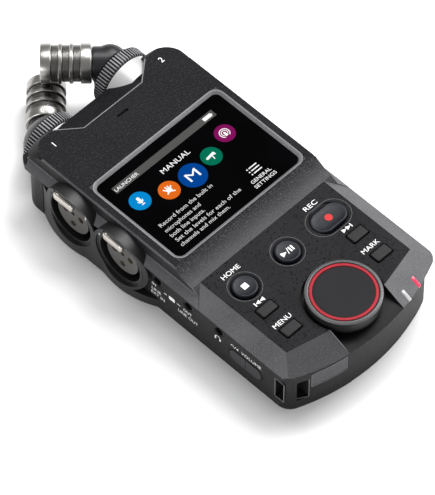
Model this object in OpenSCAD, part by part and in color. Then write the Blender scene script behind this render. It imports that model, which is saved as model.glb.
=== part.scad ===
// Portable field recorder, lying on its back.
// X points to the right of the screen, Y towards the two microphones and
// Z out of the screen. Every module is drawn in the body's drawing frame, whose
// Y zero is near the lower edge of the screen, and at() moves it to the part frame.

/* [Body] */
// Half width of the case between its flat side walls
half_w = 35.2; // [34.6:0.1:36]
// Thickness of the case from back to screen bezel
depth = 30.6; // [30.4:0.1:31]
// Height of the joint between the back shell and the front shell
split_z = 17.7; // [17.6:0.1:18]
// Height of the flat control panel
panel_z = 26.4; // [26.2:0.1:26.6]
// Wall thickness of both shells
wall = 1.8; // [1.6:0.1:2]
// Height of the widest line of the front shell, where its side bevels begin
rim_z = 22.2; // [21.8:0.1:22.4]
// How far the front shell flares out beyond the back shell
flare = 2.1; // [1.8:0.1:2.2]
// Radius of the lower corners in plan
corner_r = 6; // [5:0.5:7]
// Radius of the upper corners in plan
top_r = 7.8; // [7:0.2:8.4]
// Radius of the bowed lower end in plan
end_R = 82; // [78:1:90]

/* [Display] */
// Half width of the display window
glass_w = 30.1; // [29.6:0.1:30.4]
// Height of the display window along the body
glass_h = 42.4; // [41.6:0.1:42.8]

/* [Dial] */
// Radius of the dial
dial_r = 13.7; // [13.2:0.1:13.9]
// Height of the dial's rim above the back
dial_top = 29.4; // [29:0.1:30]
// Number of flutes round the dial's grip
dial_flutes = 40; // [24:4:60]

/* [Buttons] */
// Radius of the round transport buttons
key_r = 4.75; // [4.4:0.05:5]
// Width of the small rectangular buttons
small_w = 7.2; // [6.6:0.1:7.6]
// Height of the small rectangular buttons
small_h = 4.4; // [4:0.1:4.8]

/* [Microphones] */
// Distance of each swivel axis from the centre line
mic_x = 17.6; // [17.4:0.1:18]
// Radius of the knurled swivel ring
ring_r = 11.8; // [11.4:0.1:11.9]
// Number of knurls round each swivel ring
ring_knurls = 40; // [30:2:50]
// Radius of the microphone head
head_r = 7.3; // [7:0.1:7.4]
// Length of the microphone head
head_l = 18.4; // [17.6:0.2:18.8]
// Width of each grille groove
groove_w = 2.5; // [2.2:0.1:2.7]

/* [Sockets] */
// Radius of the opening that takes a three-pole plug
xlr_bore = 9.9; // [9.8:0.05:10]
// Radius of the contact insert
xlr_insert = 7.6; // [7.4:0.1:7.8]
// Radius of the 3.5 mm jack sockets
jack_r = 1.8; // [1.78:0.01:1.84]

/* [Hidden] */
$fn = 64;

case_black = [0.10, 0.10, 0.11];
case_grey = [0.24, 0.24, 0.26];
panel_black = [0.07, 0.07, 0.08];
silver = [0.72, 0.70, 0.66];
dark = [0.03, 0.03, 0.035];

// ends of the case along Y in the drawing frame
end_y = -66;
top_y = 72.9;
end_c = end_y + end_R;
corner_x = half_w - corner_r;
corner_y = end_c - sqrt(pow(end_R - corner_r, 2) - pow(corner_x, 2));

// microphone layout
mic_y = 73.8;                 // near face of the swivel rings
ring_w = 5.0;
ring_z = [12.1, 17.5];        // swivel axis heights, left and right
head_z = [7.85, 22.85];       // head axis heights, left and right
base_x = 11.8;                // centre of each head's inner end
base_y = 85.3;
mic_top = base_y + (head_l + head_r) * sin(45);

// dial, keys
dial_y = -51;
row_1 = -24;
row_2 = -36;
row_3 = -47.4;
small_x = 22.4;
stop_x = -21;
rec_x = 20.4;
rec_l = 2.8;
key_top = panel_z + 0.5;

// input sockets
xlr_y = [45.2, 20.5];
xlr_z = 15.8;
bulge_x = -39.3;
latch_x = -39.7;
lobe_r = 35;

// jacks on the left wall
jack_z = 15.0;
jack_y = [4.8, -10.4, -25.4];

// two-by-two cell layout
cell_x = [0, 15];
cell_z = 9.2;
cell_r = 7.15;
cell_l = 50.2;

screws = [[30.6, -47], [30.6, 12], [31, 64.5], [-13, -54], [-31, -2.8], [-31, 64.5]];

// the part frame has its origin at the middle of the bounding box, on the back
off_x = -(half_w + flare + latch_x) / 2;
off_y = -(mic_top + end_y - flare) / 2;

module at() { translate([off_x, off_y, 0]) children(); }
module cylx(r, l) { rotate([0, 90, 0]) cylinder(r = r, h = l); }
module cyly(r, l) { rotate([-90, 0, 0]) cylinder(r = r, h = l); }
module box(x0, x1, y0, y1, z0, z1) { translate([x0, y0, z0]) cube([x1 - x0, y1 - y0, z1 - z0]); }
module rrect(w, h, r) {
  union() {
    square([w - 2 * r, h], center = true);
    square([w, h - 2 * r], center = true);
    for (i = [-1, 1], j = [-1, 1]) translate([i * (w / 2 - r), j * (h / 2 - r)]) circle(r);
  }
}
module stadium(l, r) {
  union() {
    square([l, 2 * r], center = true);
    for (i = [-1, 1]) translate([i * l / 2, 0]) circle(r);
  }
}
// extrude an X-Z outline along Y from y0 to y1
module along_y(y0, y1) { translate([0, y1, 0]) rotate([90, 0, 0]) linear_extrude(y1 - y0) children(); }
// extrude a Y-Z outline along X from x0 to x1
module along_x(x0, x1) { translate([x0, 0, 0]) rotate([90, 0, 90]) linear_extrude(x1 - x0) children(); }

// outline of the case seen from the front, inset by i
module plan2d(i = 0) {
  hw = half_w - i;
  k = (end_R - i) / (end_R - corner_r) * 1.2;
  union() {
    translate([-hw, corner_y]) square([2 * hw, top_y - top_r - corner_y]);
    translate([-(half_w - top_r), corner_y]) square([2 * (half_w - top_r), top_y - i - corner_y]);
    for (s = [-1, 1]) {
      translate([s * (half_w - top_r), top_y - top_r]) circle(top_r - i);
      translate([s * corner_x, corner_y]) circle(corner_r - i);
    }
    intersection() {
      translate([0, end_c]) circle(end_R - i);
      polygon([[0, end_c], [corner_x * k, end_c - (end_c - corner_y) * k], [-corner_x * k, end_c - (end_c - corner_y) * k]]);
    }
  }
}
module panel2d(g = 0) {
  difference() {
    polygon([[-30.6 - g, -11.9 + g], [30.6 + g, -11.9 + g], [30.6 + g, -53.3 - g], [14.4, -57.2 - g],
      [-14.4, -57.2 - g], [-30.6 - g, -53.3 - g]]);
    translate([0, dial_y]) circle(14.8);
    translate([-13.2, -60]) square([26.4, 9]);
  }
}
// concave hollow that the dial sits in, open over the lower end
module scoop() {
  translate([0, dial_y, 22.4]) cylinder(r = 14.8, h = 10);
  along_x(-13.4, 13.4) polygon(concat([for (a = [0:15:90]) [-59.6 - 9.4 * sin(a), 20.7 + 1.7 * cos(a)]],
    [[-75, 20.7], [-75, 34], [-52, 34], [-52, 22.4]]));
}
module collars(c) {
  for (i = [0, 1]) translate([(i == 0 ? -1 : 1) * mic_x, 65.9, ring_z[i]]) cyly(11.2 + c, 12);
}
module screw_holes() {
  for (p = screws) translate([p[0], p[1], 0]) {
    translate([0, 0, -1]) cylinder(r = 2.35, h = 3);
    translate([0, 0, 1]) cylinder(r = 1.3, h = 22);
  }
}
// Y of the end wall at distance x from the centre line
function wall_y(x) = end_c - sqrt(pow(end_R, 2) - pow(x, 2));
// Y of the flared end wall of the front shell at distance x and height z
function flare_y(x, z) = wall_y(x) - flare * (z - split_z) / (rim_z - split_z);
// Y of the end bevel at distance x from the centre line and height z
function bevel_y(x, z) = -55.25 + (x - 22.4) * tan(13.6) - (panel_z - z) / (tan(24.9) * cos(13.6));
light_x = [17.4, 23.9];
module light_slot(x) {
  along_x(x - 0.68, x + 0.68) polygon([[-75, 19.3], [-75, 30], [bevel_y(x, 23.6) + 0.05, 30], [bevel_y(x, 23.6) + 0.05, 21],
    [flare_y(x, 19.5) + 1.9, 19.3]]);
}

// flared block that the front shell is cut from: its sides lean outwards up to rim_z
module front_blank() {
  k = flare / (rim_z - split_z);
  difference() {
    intersection() {
      translate([0, 0, split_z]) linear_extrude(depth - split_z) plan2d(-flare - 0.4);
      along_y(-90, top_y) polygon([[-half_w, split_z], [-half_w - 8 * k, split_z + 8], [-half_w - 8 * k, 40], [half_w + 8 * k, 40],
        [half_w + 8 * k, split_z + 8], [half_w, split_z]]);
      translate([0, end_c, split_z]) cylinder(r1 = end_R, r2 = end_R + 20 * k, h = 20);
    }
    // lower halves of the corners follow the lean as flats
    for (s = [-1, 1], t = [0, 1]) translate([s * (t == 0 ? corner_x : half_w - top_r), t == 0 ? corner_y : top_y - top_r, 0])
      rotate([0, 0, (t == 0 ? -1 : 1) * (s > 0 ? 45 : 135)]) along_y(-20, 20) polygon([[(t == 0 ? corner_r : top_r) + 0.2 - k, split_z - 1],
        [(t == 0 ? corner_r : top_r) + 0.2 + 6 * k, split_z + 6], [40, split_z + 6], [40, split_z - 1]]);
  }
}
// steep, slightly undercut side walls of the screen block
module block_profile() {
  polygon([[-40, 17], [-40, 20.25], [-34.6, 24.3], [-34.35, 24.9], [-34.5, depth - 0.8], [-34.05, depth],
    [34.05, depth], [34.5, depth - 0.8], [34.35, 24.9], [34.6, 24.3], [40, 20.25], [40, 17]]);
}
// solid outside of the front shell
module front_solid() {
  difference() {
    intersection() {
      front_blank();
      union() {
        along_y(-3.2, 80) block_profile();
        // bevelled frame round the control panel
        along_y(-75, -3) polygon([[-40, 17], [-40, 20.49], [-30.65, panel_z], [30.65, panel_z], [40, 20.49], [40, 17]]);
        // hollow slope from the screen down to the panel and its pointed ends
        intersection() {
          along_y(-20, -3) block_profile();
          along_x(-45, 45) polygon(concat([[0, 17], [0, depth], [-3.1, depth]],
            [for (a = [15:15:90]) [-3.1 - 8.8 * sin(a), panel_z + (depth - panel_z) * (0.45 * (1 - sin(a)) + 0.55 * pow(1 - sin(a), 2))]],
            [[-15.2, 24.05], [-18, 22.1], [-18, 17]]));
        }
      }
    }
    // end bevels either side of the dial
    for (s = [-1, 1]) translate([s * 22.4, -55.25, panel_z]) rotate([0, 0, s * 13.6]) rotate([24.9, 0, 0])
      translate([-30, -25, 0]) cube([60, 25, 20]);
    // ramp between the two horns
    intersection() {
      translate([0, 62, depth]) rotate([-34.5, 0, 0]) translate([-30, -1, 0]) cube([60, 30, 20]);
      linear_extrude(50) polygon([[-14.3, 62], [14.3, 62], [23.2, 69.3], [23.2, 90], [-23.2, 90], [-23.2, 69.3]]);
    }
    // rounded tips of the horns
    for (s = [-1, 1]) translate([s * 25.4, 61.1, 0]) difference() {
      translate([s > 0 ? 0 : -20, 0, 23]) cube([20, 20, 9]);
      translate([0, 0, 19]) cylinder(r1 = 8.8 + 0.6 * (depth - 19), r2 = 8.8 - 0.6 * 2.4, h = depth + 2.4 - 19);
    }
    // sloping ends of the horns
    translate([0, 69.3, depth]) rotate([-52, 0, 0]) translate([-50, 0, 0]) cube([100, 30, 20]);
  }
}
module upper_case() {
  color(case_black) at() difference() {
    front_solid();
    // inside of the screen block
    difference() {
      union() {
        box(-31.2, 31.2, -7, 60, 10, 26.7);
        box(-31.2, 31.2, -7, 70.6, 10, 21.2);
      }
      // screw bosses
      for (p = screws) if (p[1] > -40) translate([p[0], p[1], 9]) cylinder(r = 2.3, h = 14);
    }
    box(-28.6, 28.6, 0.2, 39.6, 20, 29.2);
    // seat of the display window and its sloping rim
    translate([0, -1.4 + glass_h / 2, 28.75]) linear_extrude(5) rrect(2 * glass_w + 0.1, glass_h + 0.1, 2.5);
    intersection() {
      along_y(-5, 45) polygon([[-glass_w - 0.06, 29.6], [-glass_w - 1.2, depth + 0.1], [glass_w + 1.2, depth + 0.1], [glass_w + 0.06, 29.6]]);
      along_x(-35, 35) polygon([[-1.46, 29.6], [-2.6, depth + 0.1], [glass_h - 0.2, depth + 0.1], [glass_h - 1.34, 29.6]]);
    }
    // inside of the control section, leaving the floor under the dial
    difference() {
      box(-29.4, 29.4, -51.5, -6.5, 10, 24);
      translate([0, dial_y, 20.9]) cylinder(r = 16.4, h = 5);
      box(-15, 15, -52, -48, 20.9, 25);
    }
    box(-9, 9, -58.5, -44, 10, 20.9);
    // seat of the control panel
    translate([0, 0, panel_z - 1.05]) linear_extrude(5) panel2d(0.05);
    scoop();
    translate([0, dial_y, 15]) cylinder(r = 3.4, h = 10);
    // button holes in the floor
    for (x = [stop_x, 0]) translate([x, row_1, 20]) cylinder(r = key_r + 0.3, h = 10);
    translate([rec_x, row_1, 20]) linear_extrude(10) stadium(rec_l, key_r + 0.3);
    for (s = [-1, 1], y = [row_2, row_3]) translate([s * small_x, y, 20]) linear_extrude(10) rrect(small_w + 0.6, small_h + 0.6, 0.8);
    // small slot above the screen
    translate([0, 57.2, depth - 1]) linear_extrude(3) rrect(5.3, 1.2, 0.3);
    // room for the input bosses and the microphone collars
    for (y = xlr_y) translate([-45, y, xlr_z]) cylx(13.05, 15);
    collars(0.05);
    for (x = light_x) light_slot(x);
    for (p = screws) translate([p[0], p[1], 16]) cylinder(r = 1.02, h = p[1] < -40 ? 5 : 4.6);
  }
}
module speaker_holes() {
  for (i = [-3:3], j = [-3:3]) if (i * i + j * j < 12) translate([-21.6 + i * 2.3, -36 + j * 2.3, -1]) cylinder(r = 0.7, h = 5);
}
module lower_case() {
  color(case_black) at() difference() {
    union() {
      difference() {
        linear_extrude(split_z - 0.05) plan2d(0);
        translate([0, 0, wall]) linear_extrude(30) plan2d(wall);
      }
      intersection() {
        linear_extrude(split_z - 0.05) plan2d(0.3);
        union() {
          // thick floor round the battery opening
          box(-11.4, 26.5, -66, 56, 0.5, 3);
          // closed box behind the strap slots
          box(-34.5, -25.9, -64, -51.3, 0.5, split_z - 0.05);
          // screw posts
          for (p = screws) translate([p[0], p[1], 0.5]) cylinder(r = 2.9, h = split_z - 0.55);
          // tripod post
          translate([0, 60.5, 0.5]) cylinder(r = 7, h = 8);
        }
      }
    }
    // opening for the four cells, and the track of the sliding door
    box(-8.6, 23.6, -50.7, 52.6, -1, 5);
    box(-10.05, 25.05, -70, 54.05, -1, 1.62);
    // strap slots round the corner post
    box(-37, -27.2, -57, -52.6, 4.5, 15.1);
    box(-31.6, -27.2, -67, -52.6, 4.5, 15.1);
    // tripod nut seat
    translate([0, 60.5, -1]) cylinder(r = 4.65, h = 8.55);
    speaker_holes();
    screw_holes();
    scoop();
    // cut-out for the input bezel
    box(-36, -33.35, 20.45, 62.1, 0.3, 20);
    box(-36, -33.35, 3.6, 20.5, 0.3, 4.65);
    for (y = xlr_y) translate([-45, y, xlr_z]) cylx(13.05, 13.6);
    collars(0.05);
    // jack holes and volume key opening in the left wall
    for (y = jack_y) translate([-38, y, jack_z]) cylx(2.35, 6);
    translate([-38, -38.6, 8.65]) rotate([0, 90, 0]) linear_extrude(6) rotate([0, 0, 90]) stadium(9.9 + 0.4, 2.75 + 0.2);
    // right wall: power switch pocket and slot, data socket, card door
    box(34.3, 37, 20, 38, 6.8, 12.7);
    box(33, 37, 23.6, 34.4, 8.5, 11);
    translate([33, -2, 9.6]) rotate([0, 90, 0]) linear_extrude(5) rrect(3.5, 9.2, 1.7);
    box(33.85, 37, -38.2, -21.8, 4.45, 12.5);
    box(33, 37, -36.8, -23.2, 6.6, 11.4);
    translate([34.45, -38.2, 5.4]) cyly(0.75, 16.4);
    // seat behind the end cover
    translate([0, 0, 9.7]) linear_extrude(7.7) intersection() {
      difference() { plan2d(-1); plan2d(1.15); }
      translate([-26.5, -70]) square([14.2, 20]);
    }
    box(-24.6, -14.4, -68, -60, 10.9, 16.1);
  }
}
module input_bezel() {
  color(case_grey) at() difference() {
    intersection() {
      translate([0, 0, 0.35]) linear_extrude(depth - 1.6) intersection() {
        union() {
          for (y = xlr_y) translate([bulge_x + lobe_r, y]) circle(lobe_r);
          translate([-38.4, xlr_y[1]]) square([10, xlr_y[0] - xlr_y[1]]);
        }
        translate([-45, 3.7]) square([14, 58.3]);
      }
      union() {
        box(-45, -33.4, 20.5, 62, 0.35, split_z - 0.1);
        box(-45, -33.4, 3.7, 20.6, 0.35, 4.6);
        for (y = xlr_y) translate([-45, y, xlr_z]) cylx(13, 13.5);
      }
    }
    for (y = xlr_y) {
      translate([-45, y, xlr_z]) cylx(10.85, 20);
      translate([-45, y, xlr_z]) cylx(11.6, 7.2);
      latch_room(y);
    }
    collars(0.3);
  }
}
module latch_room(y) {
  box(-42, -36.6, y - 3.0, y + 7.4, 22.2, 26.6);
  box(-38, -32.4, y + 2.9, y + 6.5, 22.95, 26.1);
}
module control_panel() {
  color(panel_black) at() translate([0, 0, panel_z - 1]) linear_extrude(1) difference() {
    panel2d(0);
    for (x = [stop_x, 0]) translate([x, row_1]) circle(6);
    translate([rec_x, row_1]) stadium(rec_l, 6);
    for (s = [-1, 1], y = [row_2, row_3]) translate([s * small_x, y]) rrect(small_w + 0.7, small_h + 0.7, 0.8);
  }
}
module display_window() {
  color([0.01, 0.01, 0.012]) at() translate([0, -1.4 + glass_h / 2, 28.8]) linear_extrude(0.8) rrect(2 * glass_w, glass_h, 2.45);
}
module lcd_module() {
  color([0.2, 0.22, 0.26]) at() box(-28.2, 28.2, 0.6, 39.2, 26.9, 28.7);
}
module main_pcb() {
  color([0.05, 0.25, 0.12]) at() translate([0, 0, 19.4]) linear_extrude(1.4) difference() {
    polygon([[-29, -5.5], [29, -5.5], [29, 62], [-15.5, 62], [-15.5, 6.6], [-29, 6.6]]);
    for (i = [0, 1]) translate([(i == 0 ? -1 : 1) * mic_x - 12, 59.5]) square([24, 10]);
    for (p = screws) translate([p[0], p[1]]) circle(2.7);
  }
}
module key_pcb() {
  color([0.05, 0.25, 0.12]) at() translate([0, 0, 16.9]) linear_extrude(1.2) difference() {
    union() {
      translate([-24, -50.6]) square([50.4, 44.3]);
      translate([-8.2, -58]) square([16.4, 10]);
    }
    translate([-13, -54]) circle(4.2);
  }
}
function key_places() = [[stop_x, row_1], [0, row_1], [rec_x, row_1], [small_x, row_2], [-small_x, row_2], [small_x, row_3], [-small_x, row_3]];
module tact_switches() {
  color([0.55, 0.55, 0.55]) at() {
    for (p = key_places()) translate([p[0], p[1], 0]) {
      translate([-1.5, -2.2, 18.15]) cube([3, 4.4, 2.3]);
      translate([0, 0, 20.4]) cylinder(r = 1.1, h = 1.1);
    }
    for (y = [-34.7, -42.5]) box(-31.8, -29.4, y - 1.6, y + 1.6, 7.2, 10.2);
  }
}
// dial
module dial_knob() {
  color([0.09, 0.09, 0.1]) at() translate([0, dial_y, 0]) difference() {
    union() {
      translate([0, 0, 23.2]) cylinder(r = dial_r - 0.5, h = 5.2);
      translate([0, 0, 28.3]) cylinder(r = dial_r, h = dial_top - 28.3);
      translate([0, 0, 22.8]) cylinder(r = dial_r - 1.4, h = 0.5);
    }
    for (i = [0:dial_flutes - 1]) rotate([0, 0, i * 360 / dial_flutes]) translate([dial_r - 0.1, 0, 23.6]) cylinder(r = 0.65, h = 4.2);
    translate([0, 0, dial_top - 0.9]) cylinder(r = 12.1, h = 2);
    translate([0, 0, 20]) cylinder(r = 3.02, h = 7.2);
  }
}
module dial_ring() {
  color([0.7, 0.12, 0.18]) at() translate([0, dial_y, dial_top - 0.9]) difference() {
    cylinder(r = 12.07, h = 0.95);
    translate([0, 0, -1]) cylinder(r = 10.8, h = 3);
  }
}
module dial_cap() {
  color([0.13, 0.13, 0.14]) at() translate([0, dial_y, dial_top - 0.9]) cylinder(r = 10.77, h = 0.75);
}
module encoder_shaft() {
  color(silver) at() translate([0, dial_y, 18.6]) cylinder(r = 3, h = 8.5);
}
module encoder_body() {
  color([0.4, 0.4, 0.42]) at() translate([0, dial_y, 18.15]) difference() {
    translate([-5.6, -5.6, 0]) cube([11.2, 11.2, 2.65]);
    translate([0, 0, 0.4]) cylinder(r = 3.05, h = 5);
  }
}
// buttons
module key_round(x) {
  at() translate([x, row_1, 0]) {
    translate([0, 0, 23.6]) cylinder(r = key_r, h = key_top - 23.6);
    translate([0, 0, 23]) cylinder(r = key_r + 0.9, h = 0.65);
    translate([0, 0, 22]) cylinder(r = 1.6, h = 1.1);
  }
}
module key_small(x, y) {
  at() translate([x, y, 0]) {
    translate([0, 0, 23.6]) linear_extrude(key_top - 23.6) rrect(small_w, small_h, 0.6);
    translate([0, 0, 23]) linear_extrude(0.65) rrect(small_w + 1.4, small_h + 1.4, 0.6);
    translate([0, 0, 22]) cylinder(r = 1.6, h = 1.1);
  }
}
module stop_button() { color([0.1, 0.1, 0.12]) union() key_round(stop_x); }
module play_button() { color([0.1, 0.1, 0.12]) union() key_round(0); }
module rec_button() {
  color([0.1, 0.1, 0.12]) at() translate([rec_x, row_1, 0]) union() {
    translate([0, 0, 23.6]) linear_extrude(key_top - 23.6) stadium(rec_l, key_r);
    translate([0, 0, 23]) linear_extrude(0.65) stadium(rec_l, key_r + 0.9);
    translate([0, 0, 22]) cylinder(r = 1.6, h = 1.1);
  }
}
module rewind_button() { color([0.1, 0.1, 0.11]) union() key_small(-small_x, row_2); }
module forward_button() { color([0.1, 0.1, 0.11]) union() key_small(small_x, row_2); }
module menu_button() { color([0.1, 0.1, 0.11]) union() key_small(-small_x, row_3); }
module mark_button() { color([0.1, 0.1, 0.11]) union() key_small(small_x, row_3); }
module volume_key(s) {
  // s is 1 for the key nearer the jacks, -1 for the other
  at() {
    intersection() {
      translate([-35.45, -38.6, 8.65]) rotate([0, 90, 0]) linear_extrude(2.3) rotate([0, 0, 90]) stadium(9.9, 2.75);
      translate([-40, -38.6 + (s > 0 ? 0.12 : -9.12), 0]) cube([10, 9, 20]);
    }
    translate([-33.2, -38.6 + s * 3.9, 8.65]) rotate([0, 90, 0]) linear_extrude(0.7) rrect(7, 7.2, 1);
  }
}
module volume_plus_button() { color(case_grey) union() volume_key(1); }
module volume_minus_button() { color(case_grey) union() volume_key(-1); }
module power_switch() {
  color(case_grey) at() union() {
    difference() {
      box(34.4, 35.15, 25, 33, 7.5, 12);
      for (y = [26.6, 28, 29.4, 30.8]) box(34.8, 36, y, y + 0.6, 7, 13);
    }
    box(33.1, 34.5, 27.2, 30.8, 8.8, 10.7);
    box(32.3, 33.15, 25.2, 32.8, 7.8, 11.7);
  }
}
// microphones: i is 0 for the left one, 1 for the right one
function side(i) = i == 0 ? -1 : 1;
module mic_socket(i) {
  color([0.45, 0.45, 0.46]) at() translate([side(i) * mic_x, 0, ring_z[i]]) difference() {
    translate([0, 66, 0]) cyly(11.2, 7.5);
    translate([0, 60, 0]) cyly(4.05, 20);
    translate([0, 65, 0]) cyly(6.1, 3.5);
  }
}
module mic_ring(i) {
  color([0.3, 0.3, 0.31]) at() translate([side(i) * mic_x, mic_y, ring_z[i]]) difference() {
    union() {
      cyly(ring_r, ring_w);
      translate([0, -7, 0]) cyly(4, 7.5);
      translate([0, -7.4, 0]) cyly(5.6, 1.8);
    }
    for (k = [0:ring_knurls - 1]) rotate([0, k * 360 / ring_knurls, 0]) translate([ring_r + 0.15, 0.4, 0]) cyly(0.5, ring_w - 0.8);
    translate([0, ring_w - 2.2, 0]) cyly(5.02, 5);
  }
}
// local frame of a head: origin at its inner end, +Z along the head
module head_frame(i) {
  translate([side(i) * base_x, base_y, head_z[i]]) rotate([-90, 0, side(i) * 45]) children();
}
module mic_arm(i) {
  color([0.16, 0.16, 0.17]) at() difference() {
    union() {
      translate([side(i) * mic_x, mic_y + 2.85, ring_z[i]]) cyly(5, 3);
      translate([side(i) * mic_x, mic_y + ring_w + 0.02, ring_z[i]]) intersection() {
        translate([0, -5.2, 0]) sphere(r = 11.9);
        cyly(10.6, 8);
      }
      intersection() {
        union() {
          translate([side(i) * (mic_x - 0.6), mic_y + 7.4, head_z[i]]) sphere(r = 6.5);
          head_frame(i) translate([0, 0, -8.6]) cylinder(r = 6.3, h = 8.5);
        }
        box(-60, 60, mic_y + ring_w + 0.02, 120, -10, 40);
      }
    }
    head_frame(i) translate([0, 0, -3]) cylinder(r = 5.02, h = 10);
  }
}
module mic_head(i) {
  color(silver) at() head_frame(i) difference() {
    union() {
      cylinder(r = head_r, h = head_l);
      translate([0, 0, -2.9]) cylinder(r = 5, h = 3);
    }
    for (k = [0:2]) translate([0, 0, 4.0 + k * 4.0]) difference() {
      cylinder(r = head_r + 1, h = groove_w);
      translate([0, 0, -1]) cylinder(r = head_r - 1.1, h = groove_w + 2);
    }
    translate([0, 0, 2]) cylinder(r = head_r - 2.2, h = head_l);
    translate([0, 0, head_l - 0.7]) cylinder(r = head_r - 1, h = 2);
  }
}
module mic_mesh(i) {
  color([0.3, 0.3, 0.3]) at() head_frame(i) union() {
    for (k = [0:2]) translate([0, 0, 4.03 + k * 4.0]) difference() {
      cylinder(r = head_r - 0.6, h = groove_w - 0.06);
      translate([0, 0, -1]) cylinder(r = head_r - 1.08, h = groove_w + 2);
    }
    translate([0, 0, head_l - 0.68]) cylinder(r = head_r - 1.03, h = 0.45);
  }
}
module mic_capsule(i) {
  color([0.6, 0.58, 0.5]) at() head_frame(i) translate([0, 0, 9]) cylinder(r = head_r - 2.3, h = 6);
}
module mic_1_socket() { mic_socket(0); }
module mic_1_ring() { mic_ring(0); }
module mic_1_arm() { mic_arm(0); }
module mic_1_head() { mic_head(0); }
module mic_1_mesh() { mic_mesh(0); }
module mic_1_capsule() { mic_capsule(0); }
module mic_2_socket() { mic_socket(1); }
module mic_2_ring() { mic_ring(1); }
module mic_2_arm() { mic_arm(1); }
module mic_2_head() { mic_head(1); }
module mic_2_mesh() { mic_mesh(1); }
module mic_2_capsule() { mic_capsule(1); }

// input sockets
module input_shell(y) {
  color([0.05, 0.05, 0.05]) at() difference() {
    translate([-37.75, y, xlr_z]) cylx(10.8, 18.75);
    translate([-40, y, xlr_z]) cylx(xlr_bore, 18);
    latch_room(y);
  }
}
module input_insert(y) {
  color([0.35, 0.34, 0.33]) at() difference() {
    translate([-36.6, y, xlr_z]) cylx(xlr_insert, 14.55);
    for (p = contact_places) translate([-40, y + p[0], xlr_z + p[1]]) cylx(1.3, 20);
    translate([-38, y, xlr_z + 1.6]) cylx(0.9, 4);
  }
}
contact_places = [[3.9, 1.2], [-3.9, 1.2], [0, -4.1]];
module input_contacts(y) {
  color([0.8, 0.75, 0.5]) at() for (p = contact_places) translate([-35.8, y + p[0], xlr_z + p[1]]) difference() {
    cylx(1.27, 13.7);
    translate([-1, 0, 0]) cylx(0.9, 12);
  }
}
module input_latch(y) {
  color([0.85, 0.84, 0.8]) at() union() {
    translate([latch_x, y + 2.2, 24.4]) rotate([0, 90, 0]) linear_extrude(1.5) rrect(3.7, 9.6, 1.2);
    box(latch_x + 1.4, -34.2, y + 3.2, y + 6.2, 23.25, 25.8);
  }
}
module input_3_shell() { input_shell(xlr_y[0]); }
module input_3_insert() { input_insert(xlr_y[0]); }
module input_3_contacts() { input_contacts(xlr_y[0]); }
module input_3_latch() { input_latch(xlr_y[0]); }
module input_4_shell() { input_shell(xlr_y[1]); }
module input_4_insert() { input_insert(xlr_y[1]); }
module input_4_contacts() { input_contacts(xlr_y[1]); }
module input_4_latch() { input_latch(xlr_y[1]); }
// 3.5 mm jacks
module jack(y) {
  color(dark) at() difference() {
    union() {
      translate([-35, y, jack_z]) cylx(2.3, 2);
      box(-33.2, -20.2, y - 2.55, y + 2.55, jack_z - 2.6, jack_z + 1.85);
    }
    translate([-36, y, jack_z]) cylx(jack_r, 15);
  }
}
module ext_in_jack() { jack(jack_y[0]); }
module line_out_jack() { jack(jack_y[1]); }
module phones_jack() { jack(jack_y[2]); }
// light pipes wrapped over the edge of the front shell
module light_pipe(x) {
  at() along_x(x - 0.65, x + 0.65) polygon([[flare_y(x, 19.4) + 0.05, 19.4], [flare_y(x, rim_z) + 0.1, rim_z - 0.05],
    [bevel_y(x, 23.6), 23.6], [bevel_y(x, 23.6), 21.1], [flare_y(x, 19.5) + 1.8, 19.4]]);
}
module peak_light_pipe() { color([0.85, 0.87, 0.88]) union() light_pipe(light_x[0]); }
module rec_light_pipe() { color([0.85, 0.1, 0.15]) union() light_pipe(light_x[1]); }
// power
module battery_door() {
  color(case_black) at() difference() {
    translate([0, 0, 0.05]) linear_extrude(1.45) intersection() {
      plan2d(0.05);
      translate([-9.9, -70]) square([34.8, 123.9]);
    }
    for (k = [0:5]) box(1, 14, -56 + k * 1.6, -55.2 + k * 1.6, -1, 0.5);
  }
}
module batteries() {
  color([0.25, 0.35, 0.3]) at() for (x = cell_x, y = [-49.6, 1.3]) translate([x, y, cell_z]) union() {
    cyly(cell_r, cell_l - 1.2);
    cyly(2.7, cell_l);
  }
}
module battery_contacts() {
  color(silver) at() for (x = cell_x) {
    box(x - 5, x + 5, -50.4, -50, cell_z - 5, cell_z + 5);
    box(x - 5, x + 5, 51.8, 52.2, cell_z - 5, cell_z + 5);
  }
}
module speaker() {
  color([0.2, 0.2, 0.2]) at() translate([-21.6, -36, wall + 0.1]) union() {
    cylinder(r = 10, h = 2.4);
    translate([0, 0, 2.3]) cylinder(r = 6, h = 2);
  }
}
module tripod_nut() {
  color([0.75, 0.6, 0.3]) at() translate([0, 60.5, 0.1]) difference() {
    cylinder(r = 4.6, h = 7.3);
    translate([0, 0, -1]) cylinder(r = 3.2, h = 7.5);
  }
}
module case_screws() {
  color([0.2, 0.2, 0.2]) at() for (p = screws) translate([p[0], p[1], 0]) difference() {
    union() {
      translate([0, 0, 0.5]) cylinder(r = 2.2, h = 1.4);
      translate([0, 0, 1.8]) cylinder(r = 1, h = p[1] < -40 ? 18 : 17);
    }
    for (a = [0, 90]) rotate([0, 0, a]) translate([-1.2, -0.25, 0]) cube([2.4, 0.5, 1.1]);
  }
}
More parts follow.
